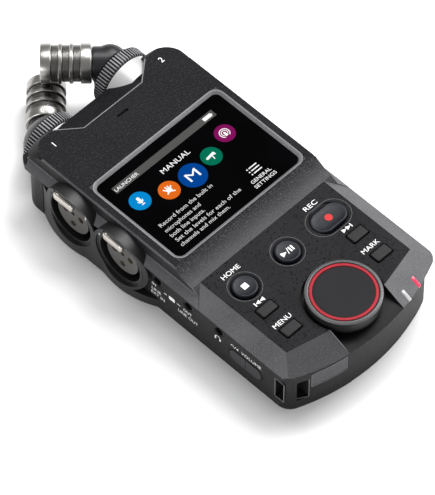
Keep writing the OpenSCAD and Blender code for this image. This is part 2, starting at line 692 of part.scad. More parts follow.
// right side sockets
module usb_socket() {
  color([0.6, 0.6, 0.62]) at() union() {
    difference() {
      translate([25.2, -2, 9.6]) rotate([0, 90, 0]) linear_extrude(9.7) rrect(3.3, 9, 1.6);
      translate([26.2, -2, 9.6]) rotate([0, 90, 0]) linear_extrude(9.7) rrect(2.6, 8.3, 1.25);
    }
    box(26, 33.6, -5.3, 1.3, 9.25, 9.95);
  }
}
module card_socket() {
  color([0.6, 0.6, 0.6]) at() difference() {
    box(24, 33.3, -36.5, -23.5, 8, 10.2);
    box(25, 34, -35.5, -24.5, 8.6, 9.5);
  }
}
module card_cover() {
  color(case_black) at() union() {
    box(34, 35.1, -37.9, -22.1, 5.4, 12.2);
    translate([34.45, -37.9, 5.4]) cyly(0.45, 15.8);
  }
}
// lower end: cover over the adapter connector
module adapter_cover() {
  color(case_grey) at() translate([0, 0, 9.8]) linear_extrude(7.45) intersection() {
    difference() { plan2d(0); plan2d(1.05); }
    translate([-26.4, -70]) square([14, 20]);
  }
}
module adapter_connector() {
  color([0.08, 0.08, 0.08]) at() difference() {
    box(-24.2, -15.2, -60.9, -56.6, 11.2, 15.8);
    box(-23, -16, -62, -58, 12.6, 14.2);
  }
}

upper_case();
lower_case();
input_bezel();
control_panel();
display_window();
lcd_module();
main_pcb();
key_pcb();
tact_switches();
dial_knob();
dial_ring();
dial_cap();
encoder_shaft();
encoder_body();
stop_button();
play_button();
rec_button();
rewind_button();
forward_button();
menu_button();
mark_button();
volume_plus_button();
volume_minus_button();
power_switch();
mic_1_socket();
mic_1_ring();
mic_1_arm();
mic_1_head();
mic_1_mesh();
mic_1_capsule();
mic_2_socket();
mic_2_ring();
mic_2_arm();
mic_2_head();
mic_2_mesh();
mic_2_capsule();
input_3_shell();
input_3_insert();
input_3_contacts();
input_3_latch();
input_4_shell();
input_4_insert();
input_4_contacts();
input_4_latch();
ext_in_jack();
line_out_jack();
phones_jack();
peak_light_pipe();
rec_light_pipe();
battery_door();
batteries();
battery_contacts();
speaker();
tripod_nut();
case_screws();
usb_socket();
card_socket();
card_cover();
adapter_cover();
adapter_connector();
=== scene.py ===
import math
import bpy
import bmesh
from mathutils import Matrix, Vector


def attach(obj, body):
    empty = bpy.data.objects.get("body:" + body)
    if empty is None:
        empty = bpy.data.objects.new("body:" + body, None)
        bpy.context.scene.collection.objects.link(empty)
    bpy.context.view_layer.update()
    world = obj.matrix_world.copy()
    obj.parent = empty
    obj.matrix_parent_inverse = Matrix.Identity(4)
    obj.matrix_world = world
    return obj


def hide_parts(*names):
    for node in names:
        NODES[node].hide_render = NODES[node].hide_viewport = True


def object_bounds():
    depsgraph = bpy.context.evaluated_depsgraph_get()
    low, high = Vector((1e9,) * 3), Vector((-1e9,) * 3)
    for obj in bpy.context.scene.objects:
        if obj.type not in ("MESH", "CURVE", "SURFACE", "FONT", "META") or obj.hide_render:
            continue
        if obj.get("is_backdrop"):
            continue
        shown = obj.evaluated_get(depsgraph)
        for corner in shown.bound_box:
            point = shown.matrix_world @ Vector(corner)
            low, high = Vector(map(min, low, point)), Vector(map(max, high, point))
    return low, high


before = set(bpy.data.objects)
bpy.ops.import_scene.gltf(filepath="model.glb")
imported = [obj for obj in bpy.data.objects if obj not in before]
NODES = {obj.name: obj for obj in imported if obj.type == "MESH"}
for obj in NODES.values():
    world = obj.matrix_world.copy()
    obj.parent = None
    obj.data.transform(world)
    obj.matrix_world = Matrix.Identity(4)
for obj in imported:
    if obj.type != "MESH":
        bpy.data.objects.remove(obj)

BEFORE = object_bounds()
OX, OY = 1.2, -17.6863221
COL = bpy.context.scene.collection


def P(x, y, z):
    """Drawing-frame millimetres to part-frame metres."""
    return Vector(((x + OX) / 1000, (y + OY) / 1000, z / 1000))


# ---------------------------------------------------------------- materials
def mat(name, base, rough=0.5, metal=0.0, spec=0.5, grain=0.0, gscale=1600.0, fleck=None, fscale=1100.0, flevel=0.62, var=0.10,
        vscale=60.0, coat=0.0, emit=None, es=0.0, stretch=None, rvar=0.05, grad=None, alpha=1.0, trans=0.0, uvtex=None):
    m = bpy.data.materials.new(name)
    m.use_nodes = True
    nt = m.node_tree
    N, L = nt.nodes, nt.links
    b = N["Principled BSDF"]
    b.inputs["Metallic"].default_value = metal
    b.inputs["Specular IOR Level"].default_value = spec
    b.inputs["Coat Weight"].default_value = coat
    b.inputs["Coat Roughness"].default_value = 0.12
    b.inputs["Transmission Weight"].default_value = trans
    b.inputs["Alpha"].default_value = alpha
    tc = N.new("ShaderNodeTexCoord")
    src = tc.outputs["Object"]
    if stretch is not None:
        mp = N.new("ShaderNodeMapping")
        mp.inputs["Scale"].default_value = stretch
        L.new(src, mp.inputs["Vector"])
        src_s = mp.outputs["Vector"]
    else:
        src_s = src

    def noise(scale, detail=3.0, vec=None, dist=0.0):
        n = N.new("ShaderNodeTexNoise")
        n.inputs["Scale"].default_value = scale
        n.inputs["Detail"].default_value = detail
        n.inputs["Distortion"].default_value = dist
        L.new(vec or src, n.inputs["Vector"])
        return n.outputs["Fac"]

    def ramp(fac, lo, hi):
        r = N.new("ShaderNodeMapRange")
        r.inputs["From Min"].default_value = lo
        r.inputs["From Max"].default_value = hi
        L.new(fac, r.inputs["Value"])
        return r.outputs["Result"]

    def mix(fac, a, c):
        x = N.new("ShaderNodeMix")
        x.data_type = "RGBA"
        for sock, val in (("A", a), ("B", c)):
            s = [i for i in x.inputs if i.name == sock and i.type == "RGBA"][0]
            if isinstance(val, bpy.types.NodeSocket):
                L.new(val, s)
            else:
                s.default_value = (*val[:3], 1)
        f = [i for i in x.inputs if i.name == "Factor" and i.type == "VALUE"][0]
        L.new(fac, f)
        return [o for o in x.outputs if o.type == "RGBA"][0]

    lo = tuple(max(0, c * (1 - var)) for c in base)
    hi = tuple(c * (1 + var) for c in base)
    col = mix(ramp(noise(vscale), 0.35, 0.65), lo, hi)
    if grad is not None:
        # (z low mm, z high mm, colour at the high end); the slope uses it for a painted sheen that fades darker towards
        # the top
        z0, z1, gc = grad
        sep = N.new("ShaderNodeSeparateXYZ")
        L.new(src, sep.inputs["Vector"])
        col = mix(ramp(sep.outputs["Z"], z0 / 1000, z1 / 1000), col, gc)
    if fleck is not None:
        col = mix(ramp(noise(fscale, 2.0), flevel, flevel + 0.05), col, fleck)
    if uvtex == "mesh":
        # woven wire cloth in the piece's own unwrapped strip
        uv = N.new("ShaderNodeMapping")
        uv.inputs["Scale"].default_value = (1, 1, 1)
        L.new(tc.outputs["UV"], uv.inputs["Vector"])
        br = N.new("ShaderNodeTexBrick")
        br.offset = 0.5
        br.inputs["Color1"].default_value = (*base, 1)
        br.inputs["Color2"].default_value = (*hi, 1)
        br.inputs["Mortar"].default_value = (0.01, 0.01, 0.01, 1)
        br.inputs["Scale"].default_value = 1.0
        br.inputs["Mortar Size"].default_value = 0.16
        br.inputs["Brick Width"].default_value = 0.8
        br.inputs["Row Height"].default_value = 0.8
        L.new(uv.outputs["Vector"], br.inputs["Vector"])
        col = br.outputs["Color"]
    L.new(col, b.inputs["Base Color"])
    rr = N.new("ShaderNodeMapRange")
    rr.inputs["To Min"].default_value = max(0.02, rough - rvar)
    rr.inputs["To Max"].default_value = min(1.0, rough + rvar)
    L.new(noise(gscale * 0.4, 2.0, src_s), rr.inputs["Value"])
    L.new(rr.outputs["Result"], b.inputs["Roughness"])
    if grain > 0:
        bp = N.new("ShaderNodeBump")
        bp.inputs["Strength"].default_value = 1.0
        bp.inputs["Distance"].default_value = grain / 1000
        L.new(noise(gscale, 4.0, src_s), bp.inputs["Height"])
        L.new(bp.outputs["Normal"], b.inputs["Normal"])
    if emit is not None:
        b.inputs["Emission Color"].default_value = (*emit, 1)
        b.inputs["Emission Strength"].default_value = es
    return m


M = {
    "plate": mat("plate_speckled", (0.0058, 0.0058, 0.0070), 0.55, spec=0.08, grain=0.05, gscale=1500, fleck=(0.022, 0.022, 0.025), fscale=1900, flevel=0.57, var=0.15),
    "panel": mat("panel_flecked", (0.0125, 0.0125, 0.0140), 0.6, spec=0.08, grain=0.06, gscale=1300, fleck=(0.0015, 0.0015, 0.0015), fscale=1150, flevel=0.595, var=0.15),
    # bevel grey: colour painted lighter than the plate to stand in for the light the bevels reflect
    "grey": mat("bevel_grey", (0.080, 0.080, 0.086), 0.5, spec=0.30, grain=0.06, gscale=1700, fleck=(0.115, 0.115, 0.12), fscale=2600, flevel=0.56, var=0.15),
    # end bevels: a darker copy as painted shade for the left one, a lighter copy as painted light for the right one
    "grey_painted_shade": mat("bevel_grey_dark", (0.042, 0.042, 0.046), 0.5, spec=0.22, grain=0.06, gscale=1700, fleck=(0.065, 0.065, 0.068), fscale=2600, flevel=0.56, var=0.15),
    "grey_painted_light": mat("bevel_grey_light", (0.100, 0.100, 0.106), 0.5, spec=0.30, grain=0.06, gscale=1700, fleck=(0.135, 0.135, 0.14), fscale=2600, flevel=0.56, var=0.15),
    # edge colours: painted highlights along edges, a bright one and a dimmer one
    "edge": mat("edge_painted_highlight", (0.15, 0.15, 0.158), 0.42, spec=0.5, grain=0.02, gscale=2000, var=0.10),
    "edge2": mat("edge_painted_sheen", (0.062, 0.062, 0.067), 0.45, spec=0.4, grain=0.02, gscale=2000, var=0.10),
    "wall": mat("wall_dark", (0.0125, 0.0125, 0.0138), 0.5, spec=0.20, grain=0.04, gscale=1700, fleck=(0.035, 0.035, 0.037), fscale=1500, flevel=0.62, var=0.15),
    # slope: lighter grey painted as sheen, fading darker towards the top
    "slope": mat("slope_painted_sheen", (0.034, 0.034, 0.037), 0.5, spec=0.22, grain=0.06, gscale=1700, fleck=(0.065, 0.065, 0.07), fscale=2600, flevel=0.56, grad=(27.2, 30.2, (0.008, 0.008, 0.009))),
    # scoop: satin surface whose colour is darkened as painted shade in the recess
    "scoop": mat("scoop_satin_painted_shade", (0.0050, 0.0050, 0.0057), 0.42, spec=0.09, grain=0.008, gscale=1500, var=0.08),
    "bezel": mat("input_bezel_satin", (0.0125, 0.0125, 0.0135), 0.40, spec=0.35, grain=0.012, gscale=1600, var=0.10),
    # rim: light grey painted on chamfers and slot edges as reflected light and highlight
    "rim": mat("display_rim", (0.14, 0.14, 0.148), 0.45, spec=0.5, grain=0.03, gscale=1900, fleck=(0.21, 0.21, 0.22), fscale=1600, flevel=0.62),
    "glass": mat("display_glass", (0.0008, 0.0008, 0.0010), 0.08, spec=0.02, grain=0.0, var=0.3, rvar=0.02),
    "key": mat("round_key", (0.0050, 0.0058, 0.0100), 0.36, spec=0.15, grain=0.006, gscale=1400, var=0.12),
    "keys": mat("small_key", (0.0075, 0.0075, 0.0088), 0.5, spec=0.18, grain=0.01, gscale=1500, var=0.12),
    "well": mat("key_well", (0.024, 0.024, 0.027), 0.4, spec=0.4, grain=0.02, gscale=1500, var=0.1),
    "dial": mat("dial_black", (0.014, 0.014, 0.015), 0.36, spec=0.5, grain=0.006, gscale=1500, var=0.1),
    # dial rim: lighter colour painted on the rim chamfer as a highlight
    "dial_rim_painted_highlight": mat("dial_rim_painted_highlight", (0.10, 0.10, 0.105), 0.3, spec=0.6, grain=0.004, gscale=1500, var=0.1),
    # dial knurl: lighter colour painted on alternate facets as sheen
    "dial_knurl_painted_sheen": mat("dial_knurl_painted_sheen", (0.030, 0.030, 0.032), 0.34, spec=0.4, grain=0.004, gscale=1500, var=0.1),
    "dial_cap": mat("dial_cap_soft", (0.0120, 0.0120, 0.0135), 0.62, spec=0.12, grain=0.01, gscale=1900, var=0.08),
    "red": mat("dial_red_ring", (0.30, 0.008, 0.018), 0.4, spec=0.12, emit=(0.60, 0.01, 0.03), es=0.05, var=0.1),
    "ledred": mat("led_red", (0.60, 0.03, 0.08), 0.18, spec=0.6, emit=(0.9, 0.03, 0.09), es=0.45, var=0.1),
    "ledclear": mat("led_clear", (0.50, 0.50, 0.51), 0.15, spec=0.7, var=0.15),
    # legend ink: white print with a small painted glow
    "ink": mat("legend_ink_painted_glow", (0.80, 0.80, 0.80), 0.5, spec=0.2, var=0.04, emit=(1, 1, 1), es=0.10),
    # record dot: red print with a painted glow
    "recdot": mat("rec_dot_painted_glow", (0.42, 0.006, 0.006), 0.4, spec=0.2, emit=(1.0, 0.005, 0.008), es=0.18, var=0.05),
    "ui_white": mat("ui_white", (0.1, 0.1, 0.1), 0.9, spec=0.0, emit=(1, 1, 1), es=0.92, var=0.02),
    "ui_text": mat("ui_text", (0.1, 0.1, 0.1), 0.9, spec=0.0, emit=(0.9, 0.9, 0.9), es=0.70, var=0.02),
    "ui_bar": mat("ui_bar", (0.03, 0.03, 0.03), 0.9, spec=0.0, emit=(0.055, 0.055, 0.050), es=0.85, var=0.05),
    "ui_blue": mat("ui_blue", (0.0002, 0.0254, 0.0638), 0.9, spec=0.0, emit=(0.0016, 0.221, 0.5551), es=0.95, var=0.03),
    "ui_orange": mat("ui_orange", (0.0783, 0.0147, 0.0012), 0.9, spec=0.0, emit=(0.6812, 0.1279, 0.0101), es=0.95, var=0.03),
    "ui_deep": mat("ui_deep_blue", (0.0001, 0.006, 0.0309), 0.9, spec=0.0, emit=(0.001, 0.0518, 0.2688), es=0.95, var=0.03),
    "ui_green": mat("ui_green", (0.0002, 0.0165, 0.0091), 0.9, spec=0.0, emit=(0.0013, 0.1436, 0.079), es=0.95, var=0.03),
    "ui_mag": mat("ui_magenta", (0.0227, 0.0006, 0.0107), 0.9, spec=0.0, emit=(0.1975, 0.0057, 0.0931), es=0.95, var=0.03),
    "mic": mat("mic_metal", (0.34, 0.33, 0.315), 0.30, metal=1.0, grain=0.004, gscale=900, var=0.08, rvar=0.08),
    "mic_end": mat("mic_metal_light", (0.55, 0.54, 0.52), 0.28, metal=1.0, grain=0.003, gscale=900, var=0.06),
    "mesh": mat("mic_mesh", (0.30, 0.29, 0.28), 0.35, metal=0.9, var=0.15, uvtex="mesh"),
    "mic_dark": mat("mic_arm_black", (0.012, 0.012, 0.014), 0.36, spec=0.35, grain=0.004, gscale=1600, var=0.08),
    "crest": mat("ring_crest", (0.20, 0.20, 0.21), 0.34, spec=0.55, grain=0.006, gscale=1600, var=0.1),
    "valley": mat("ring_valley", (0.012, 0.012, 0.013), 0.5, spec=0.3, grain=0.006, gscale=1600, var=0.1),
    "collar": mat("mic_collar", (0.50, 0.50, 0.50), 0.35, metal=0.3, spec=0.6, grain=0.004, gscale=1500, var=0.05),
    "latch": mat("latch_nickel", (0.62, 0.58, 0.53), 0.27, metal=1.0, grain=0.10, gscale=700, var=0.1),
    "shell": mat("input_shell_black", (0.008, 0.008, 0.0085), 0.38, spec=0.5, grain=0.004, gscale=1500, var=0.15),
    "insert": mat("input_insert_grey", (0.085, 0.082, 0.078), 0.5, spec=0.4, grain=0.03, gscale=900, var=0.15),
    "black": mat("moulded_black", (0.008, 0.008, 0.009), 0.45, spec=0.4, grain=0.005, gscale=1500, var=0.15),
    "board": mat("board_green", (0.02, 0.14, 0.07), 0.35, spec=0.5, grain=0.01, gscale=500, fleck=(0.03, 0.20, 0.10), fscale=300, var=0.15),
    "steel": mat("steel_satin", (0.52, 0.51, 0.49), 0.32, metal=1.0, grain=0.006, gscale=1300, var=0.08),
    "brass": mat("brass_machined", (0.72, 0.52, 0.24), 0.28, metal=1.0, grain=0.004, gscale=1300, var=0.08),
    "cell": mat("cell_sleeve", (0.06, 0.10, 0.085), 0.28, metal=0.4, grain=0.003, gscale=600, var=0.1),
    "screw": mat("screw_black", (0.03, 0.03, 0.03), 0.35, metal=0.8, grain=0.01, gscale=1400, var=0.1),
}


# ---------------------------------------------------------------- mesh helpers
def piece(name, verts, faces, body, mats, index=None, smooth=True, replaces=(), uvs=None, sharp=35.0):
    """A mesh piece from drawing-frame millimetre points, riding on a body."""
    me = bpy.data.meshes.new(name)
    me.from_pydata([P(*v) for v in verts], [], faces)
    names = [mats] if isinstance(mats, str) else list(mats)
    for k in names:
        me.materials.append(M[k])
    if index is not None:
        me.polygons.foreach_set("material_index", index)
    if uvs is not None:
        lay = me.uv_layers.new(name="UVMap")
        for li, l in enumerate(me.loops):
            lay.data[li].uv = uvs[l.vertex_index]
    bm = bmesh.new()
    bm.from_mesh(me)
    bmesh.ops.recalc_face_normals(bm, faces=bm.faces)
    if smooth:
        for f in bm.faces:
            f.smooth = True
        for e in bm.edges:
            if len(e.link_faces) == 2 and e.calc_face_angle(0) > math.radians(sharp):
                e.smooth = False
    bm.to_mesh(me)
    bm.free()
    me.update()
    o = bpy.data.objects.new(name, me)
    COL.objects.link(o)
    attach(o, body)
    if replaces:
        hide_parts(*replaces)
    return o


def loft(rings, closed=True, cap=True, wrap=False):
    """Faces between successive rings of equally many points."""
    n = len(rings[0])
    verts = [p for r in rings for p in r]
    faces = []
    m = len(rings)
    for j in range(m if wrap else m - 1):
        a, b = j * n, ((j + 1) % m) * n
        for k in range(n if closed else n - 1):
            k2 = (k + 1) % n
            faces.append((a + k, a + k2, b + k2, b + k))
    if cap and not wrap:
        faces.append(tuple(range(n - 1, -1, -1)))
        faces.append(tuple((m - 1) * n + k for k in range(n)))
    return verts, faces


def rrect_pts(w, h, r, n=6):
    pts = []
    r = max(min(r, w / 2 - 1e-4, h / 2 - 1e-4), 1e-4)
    for cx, cy, a0 in ((w / 2 - r, h / 2 - r, 0), (-w / 2 + r, h / 2 - r, 90), (-w / 2 + r, -h / 2 + r, 180), (w / 2 - r, -h / 2 + r, 270)):
        for i in range(n + 1):
            a = math.radians(a0 + 90 * i / n)
            pts.append((cx + r * math.cos(a), cy + r * math.sin(a)))
    return pts


def stad_pts(l, r, n=20):
    """Stadium along x: half length l, radius r."""
    pts = []
    for c, a0 in ((l, -90), (-l, 90)):
        for i in range(n + 1):
            a = math.radians(a0 + 180 * i / n)
            pts.append((c + r * math.cos(a), r * math.sin(a)))
    return pts


def circ_pts(r, n=64):
    return [(r * math.cos(2 * math.pi * i / n), r * math.sin(2 * math.pi * i / n)) for i in range(n)]


FRONT = Matrix.Identity(4)


def frame_at(x, y, z, ex, ey, ez):
    m = Matrix.Identity(4)
    for i in range(3):
        m[i][0], m[i][1], m[i][2] = ex[i], ey[i], ez[i]
    m[0][3], m[1][3], m[2][3] = x, y, z
    return m


def up(x, y, z):
    return frame_at(x, y, z, (1, 0, 0), (0, 1, 0), (0, 0, 1))


def left(x, y, z):
    """On the left wall, reading towards -Y, out along -X."""
    return frame_at(x, y, z, (0, -1, 0), (0, 0, 1), (-1, 0, 0))


def right(x, y, z):
    return frame_at(x, y, z, (0, 1, 0), (0, 0, 1), (1, 0, 0))


def front_end(x, y, z):
    return frame_at(x, y, z, (1, 0, 0), (0, 0, 1), (0, -1, 0))


def tf(m, pts):
    return [tuple(m @ Vector(p)) for p in pts]


def stack(name, m, outlines, body, mats, **kw):
    """Loft of (outline points, height) levels in frame m."""
    rings = [tf(m, [(x, y, z) for x, y in pts]) for pts, z in outlines]
    v, f = loft(rings)
    return piece(name, v, f, body, mats, **kw)


def lathe(name, m, profile, body, mats, n=72, segs=None, **kw):
    """Turned piece about the frame's z axis; profile is a closed loop of (r, z)."""
    rings = []
    for i in range(n):
        a = 2 * math.pi * i / n
        rings.append(tf(m, [(r * math.cos(a), r * math.sin(a), z) for r, z in profile]))
    v, f = loft(rings, closed=True, cap=False, wrap=True)
    idx = None
    if segs is not None:
        k = len(profile)
        idx = [segs[j % k] for _ in range(n) for j in range(k)]
    return piece(name, v, f, body, mats, index=idx, **kw)


def turned(name, m, profile, body, mats, n=72, **kw):
    """Turned solid whose profile runs from the axis to the axis."""
    rings = [tf(m, [(0, 0, profile[0][1])])]
    verts = [rings[0][0]]
    faces = []
    inner = profile[1:-1]
    for r, z in inner:
        verts += tf(m, [(r * math.cos(2 * math.pi * i / n), r * math.sin(2 * math.pi * i / n), z) for i in range(n)])
    verts += tf(m, [(0, 0, profile[-1][1])])
    last = len(verts) - 1
    for i in range(n):
        i2 = (i + 1) % n
        faces.append((0, 1 + i2, 1 + i))
        for j in range(len(inner) - 1):
            a, b = 1 + j * n, 1 + (j + 1) * n
            faces.append((a + i, a + i2, b + i2, b + i))
        a = 1 + (len(inner) - 1) * n
        faces.append((a + i, a + i2, last))
    return piece(name, verts, faces, body, mats, **kw)


def slab(name, m, pts, z0, z1, body, mats, **kw):
    return stack(name, m, [(pts, z0), (pts, z1)], body, mats, smooth=False, **kw)


def poly_set(name, m, polys, z0, z1, body, mats, **kw):
    """Several flat outlines as one thin piece."""
    verts, faces = [], []
    for pts in polys:
        r = [tf(m, [(x, y, z) for x, y in pts]) for z in (z0, z1)]
        v, f = loft(r)
        k = len(verts)
        verts += v
        faces += [tuple(i + k for i in q) for q in f]
    return piece(name, verts, faces, body, mats, smooth=False, **kw)


def text(name, s, m, height, body, mats, width=None, bold=0.03, thick=0.02, align="CENTER", spacing=1.0):
    """Lettering cut from the built-in face: height is the capital height in mm."""
    cu = bpy.data.curves.new(name + "_c", "FONT")
    cu.body = s
    cu.size = height / 0.70
    cu.align_x = align
    cu.align_y = "CENTER"
    cu.offset = 0.0
    cu.extrude = thick / 2
    cu.resolution_u = 4
    cu.space_character = spacing
    cu.space_line = 1.0
    o = bpy.data.objects.new(name + "_o", cu)
    COL.objects.link(o)
    bpy.context.view_layer.update()
    dg = bpy.context.evaluated_depsgraph_get()
    me = bpy.data.meshes.new_from_object(o.evaluated_get(dg))
    bpy.data.objects.remove(o)
    me.name = name
    xs = [v.co.x for v in me.vertices]
    k = 1.0
    if width is not None and xs:
        k = width / (max(xs) - min(xs))
    for v in me.vertices:
        q = m @ Vector((v.co.x * k, v.co.y, v.co.z))
        v.co = P(*q)
    me.materials.clear()
    me.materials.append(M[mats])
    ob = bpy.data.objects.new(name, me)
    COL.objects.link(ob)
    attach(ob, body)
    return ob


# ---------------------------------------------------------------- carried-over CAD nodes
def dress(node, mats, rule=None, bevel=0.0, seg=2, edge=None, angle=28.0):
    """Materials, and rounded edges as modifiers, on a carried-over CAD node."""
    o = NODES[node]
    me = o.data
    names = [mats] if isinstance(mats, str) else list(mats)
    me.materials.clear()
    for k in names:
        me.materials.append(M[k])
    if rule is not None:
        for p in me.polygons:
            c = p.center * 1000
            p.material_index = rule(c.x - OX, c.y - OY, c.z, p.normal)
    else:
        for p in me.polygons:
            p.material_index = 0
    if bevel > 0:
        w = o.modifiers.new("weld", "WELD")
        w.merge_threshold = 2e-6
        b = o.modifiers.new("edges", "BEVEL")
        b.width = bevel / 1000
        b.segments = seg
        b.limit_method = "ANGLE"
        b.angle_limit = math.radians(angle)
        b.use_clamp_overlap = True
        b.miter_outer = "MITER_ARC"
        b.harden_normals = False
        # the bevel faces can take their own material, used for painted edge highlights
        if edge is not None:
            b.material = edge
        n = o.modifiers.new("shading", "WEIGHTED_NORMAL")
        n.keep_sharp = False
        n.weight = 60
    return o


def case_rule(x, y, z, n):
    # 0 plate, 1 dark wall, 2 grey bevel (lighter colour painted for reflected light), 3 slope (painted sheen fading
    # darker towards the top), 4 scoop (satin, darkened as painted shade), 5 painted edge highlight, 6 and 7 end bevels
    # painted darker on the left as shade and lighter on the right as light
    if n.z < -0.05:
        return 1
    if -69 < y < -48 and abs(x) < 13.6 and z < 26.3 and abs(n.x) < 0.9:
        return 4
    if n.z > 0.93 and z > 29:
        return 0
    if y > 60 and n.z > 0.5 and n.y > 0.2:
        return 0
    if abs(n.x) > 0.93 and z > 21:
        return 1
    if -19 < y < -3 and z > 22.3 and n.y < -0.05 and abs(n.x) < 0.3:
        return 3
    if abs(n.z) < 0.1 and z > 23:
        return 1
    # recessed flats take the scoop material, darkened as painted shade
    if n.z > 0.93 and z < 26.2:
        return 4
    # end bevels split by side: the left one painted darker as shade, the right one painted lighter as light
    if y < -45 and n.y < -0.2 and n.z > 0.3 and abs(x) > 13.6:
        return 6 if x < 0 else 7
    return 2


# bevel faces on the upper case take material 5, a painted edge highlight
dress("upper_case", ("plate", "wall", "grey", "slope", "scoop", "edge", "grey_painted_shade", "grey_painted_light"), case_rule, bevel=0.22, seg=2, edge=5)
dress("lower_case", ("wall", "scoop", "edge"), lambda x, y, z, n: 0, bevel=0.22, seg=2)
dress("input_bezel", "bezel", bevel=0.35, seg=3)
dress("control_panel", "panel", bevel=0.10, seg=1)
dress("display_window", "glass", bevel=0.08, seg=1)
for n_, m_ in {"lcd_module": "steel", "main_pcb": "board", "key_pcb": "board", "tact_switches": "steel", "encoder_shaft": "steel", "encoder_body": "black",
               "battery_contacts": "steel", "speaker": "black", "tripod_nut": "brass", "batteries": "cell", "mic_1_capsule": "brass",
               "mic_2_capsule": "brass", "adapter_connector": "black", "card_socket": "steel", "input_3_contacts": "brass", "input_4_contacts": "brass"}.items():
    dress(n_, m_)
dress("case_screws", "screw", bevel=0.08, seg=1)
dress("battery_door", "wall", bevel=0.15)
dress("usb_socket", "steel", bevel=0.06, seg=1)
dress("card_cover", "wall", bevel=0.2)
dress("adapter_cover", "grey", bevel=0.0)
dress("power_switch", "bezel", bevel=0.15)
for i in (1, 2):
    dress(f"mic_{i}_socket", "collar", bevel=0.15)
for i in (3, 4):
    dress(f"input_{i}_shell", "shell", bevel=0.18)
    dress(f"input_{i}_insert", "insert", bevel=0.18)
for j in ("ext_in_jack", "line_out_jack", "phones_jack"):
    dress(j, "black", bevel=0.08, seg=1)

# ---------------------------------------------------------------- display
GX, GY = 0.0, -1.4 + 21.2


def ring_stack(name, m, levels, body, mats, **kw):
    """Closed ring lofted through (outline, height) levels, back to the first."""
    rings = [tf(m, [(x, y, z) for x, y in pts]) for pts, z in levels]
    v, f = loft(rings, cap=False, wrap=True)
    return piece(name, v, f, body, mats, **kw)


# display rim chamfer in the rim colour, painted light as reflection
ring_stack("display_rim", up(GX, GY, 0), [
    (rrect_pts(60.30, 42.50, 2.55, 8), 29.45), (rrect_pts(60.30, 42.50, 2.55, 8), 29.70), (rrect_pts(62.0, 44.2, 3.3, 8), 30.50),
    (rrect_pts(62.5, 44.7, 3.55, 8), 30.62), (rrect_pts(63.1, 45.3, 3.85, 8), 30.605), (rrect_pts(63.1, 45.3, 3.85, 8), 30.45)], "case", "rim")

UZ = 29.615
UF = lambda x, y: up(x, y, UZ)
slab("ui_bar", UF(-1.25, 35.26), [(-24.55, -1.52), (24.55, -1.52), (24.55, 1.52), (-24.55, 1.52)], 0, 0.01, "case", "ui_bar")
text("ui_caption", "LAUNCHER", up(-20.0, 35.1, UZ + 0.02), 1.45, "case", "ui_white", width=11.0, bold=0.04)
poly_set("ui_battery", up(20.2, 35.25, UZ + 0.012), [[(-2.1, -0.75), (1.7, -0.75), (1.7, 0.75), (-2.1, 0.75)], [(1.75, -0.35), (2.1, -0.35), (2.1, 0.35), (1.75, 0.35)]], 0, 0.012, "case", "ui_white")
text("ui_title", "MANUAL", up(-1.8, 29.3, UZ + 0.01), 2.1, "case", "ui_white", width=13.4, bold=0.09)
ICONS = [("mic", -22.32, 25.94, 4.0, "ui_blue"), ("hand", -11.88, 22.05, 4.0, "ui_orange"), ("letter", -1.5, 20.77, 5.3, "ui_deep"),
         ("gun", 8.96, 22.12, 4.0, "ui_green"), ("cast", 19.44, 25.92, 3.9, "ui_mag")]
for n_, x, y, r, m_ in ICONS:
    slab("ui_disc_" + n_, UF(x, y), circ_pts(r, 48), 0, 0.01, "case", m_)
IZ = UZ + 0.012
text("ui_letter", "M", up(-1.5, 20.7, IZ), 4.0, "case", "ui_white", width=5.0, bold=0.08)


def arc(cx, cy, r0, r1, a0, a1, n=14):
    out = []
    for i in range(n):
        p, q = math.radians(a0 + (a1 - a0) * i / n), math.radians(a0 + (a1 - a0) * (i + 1) / n)
        out.append([(cx + r0 * math.cos(p), cy + r0 * math.sin(p)), (cx + r1 * math.cos(p), cy + r1 * math.sin(p)),
                    (cx + r1 * math.cos(q), cy + r1 * math.sin(q)), (cx + r0 * math.cos(q), cy + r0 * math.sin(q))])
    return out


def bar(x0, y0, x1, y1, w):
    d = Vector((x1 - x0, y1 - y0)).normalized()
    n = Vector((-d.y, d.x)) * w / 2
    return [(x0 + n.x, y0 + n.y), (x0 - n.x, y0 - n.y), (x1 - n.x, y1 - n.y), (x1 + n.x, y1 + n.y)]


def rot_pts(pts, a, cx=0.0, cy=0.0):
    c, s = math.cos(math.radians(a)), math.sin(math.radians(a))
    return [(cx + x * c - y * s, cy + x * s + y * c) for x, y in pts]


poly_set("ui_glyph_mic", up(-22.32, 25.94, IZ), [rot_pts(stad_pts(0.75, 0.62, 8), 90, 0, 0.45)] + arc(0, 0.2, 0.95, 1.25, 180, 360) +
         [bar(0, -1.0, 0, -1.75, 0.3), bar(-0.75, -1.8, 0.75, -1.8, 0.32)], 0, 0.012, "case", "ui_white")
poly_set("ui_glyph_hand", up(-11.88, 22.05, IZ), [rrect_pts(2.2, 1.7, 0.5, 4), bar(-0.9, 0.3, -1.7, 1.5, 0.5), bar(-0.2, 0.6, -0.4, 2.0, 0.5), bar(0.4, 0.6, 0.7, 1.9, 0.5),
         bar(0.8, 0.3, 1.8, 1.2, 0.5), bar(0.0, -0.6, 1.5, -1.6, 0.5), bar(-0.8, -0.5, -1.7, -1.1, 0.5)], 0, 0.012, "case", "ui_white")
poly_set("ui_glyph_gun", up(8.96, 22.12, IZ), [rot_pts(stad_pts(1.6, 0.5, 8), 8, -0.2, 0.35), bar(0.9, 0.3, 1.9, -0.1, 0.7), bar(0.4, 0.2, 0.1, -1.7, 0.4)], 0, 0.012, "case", "ui_white")
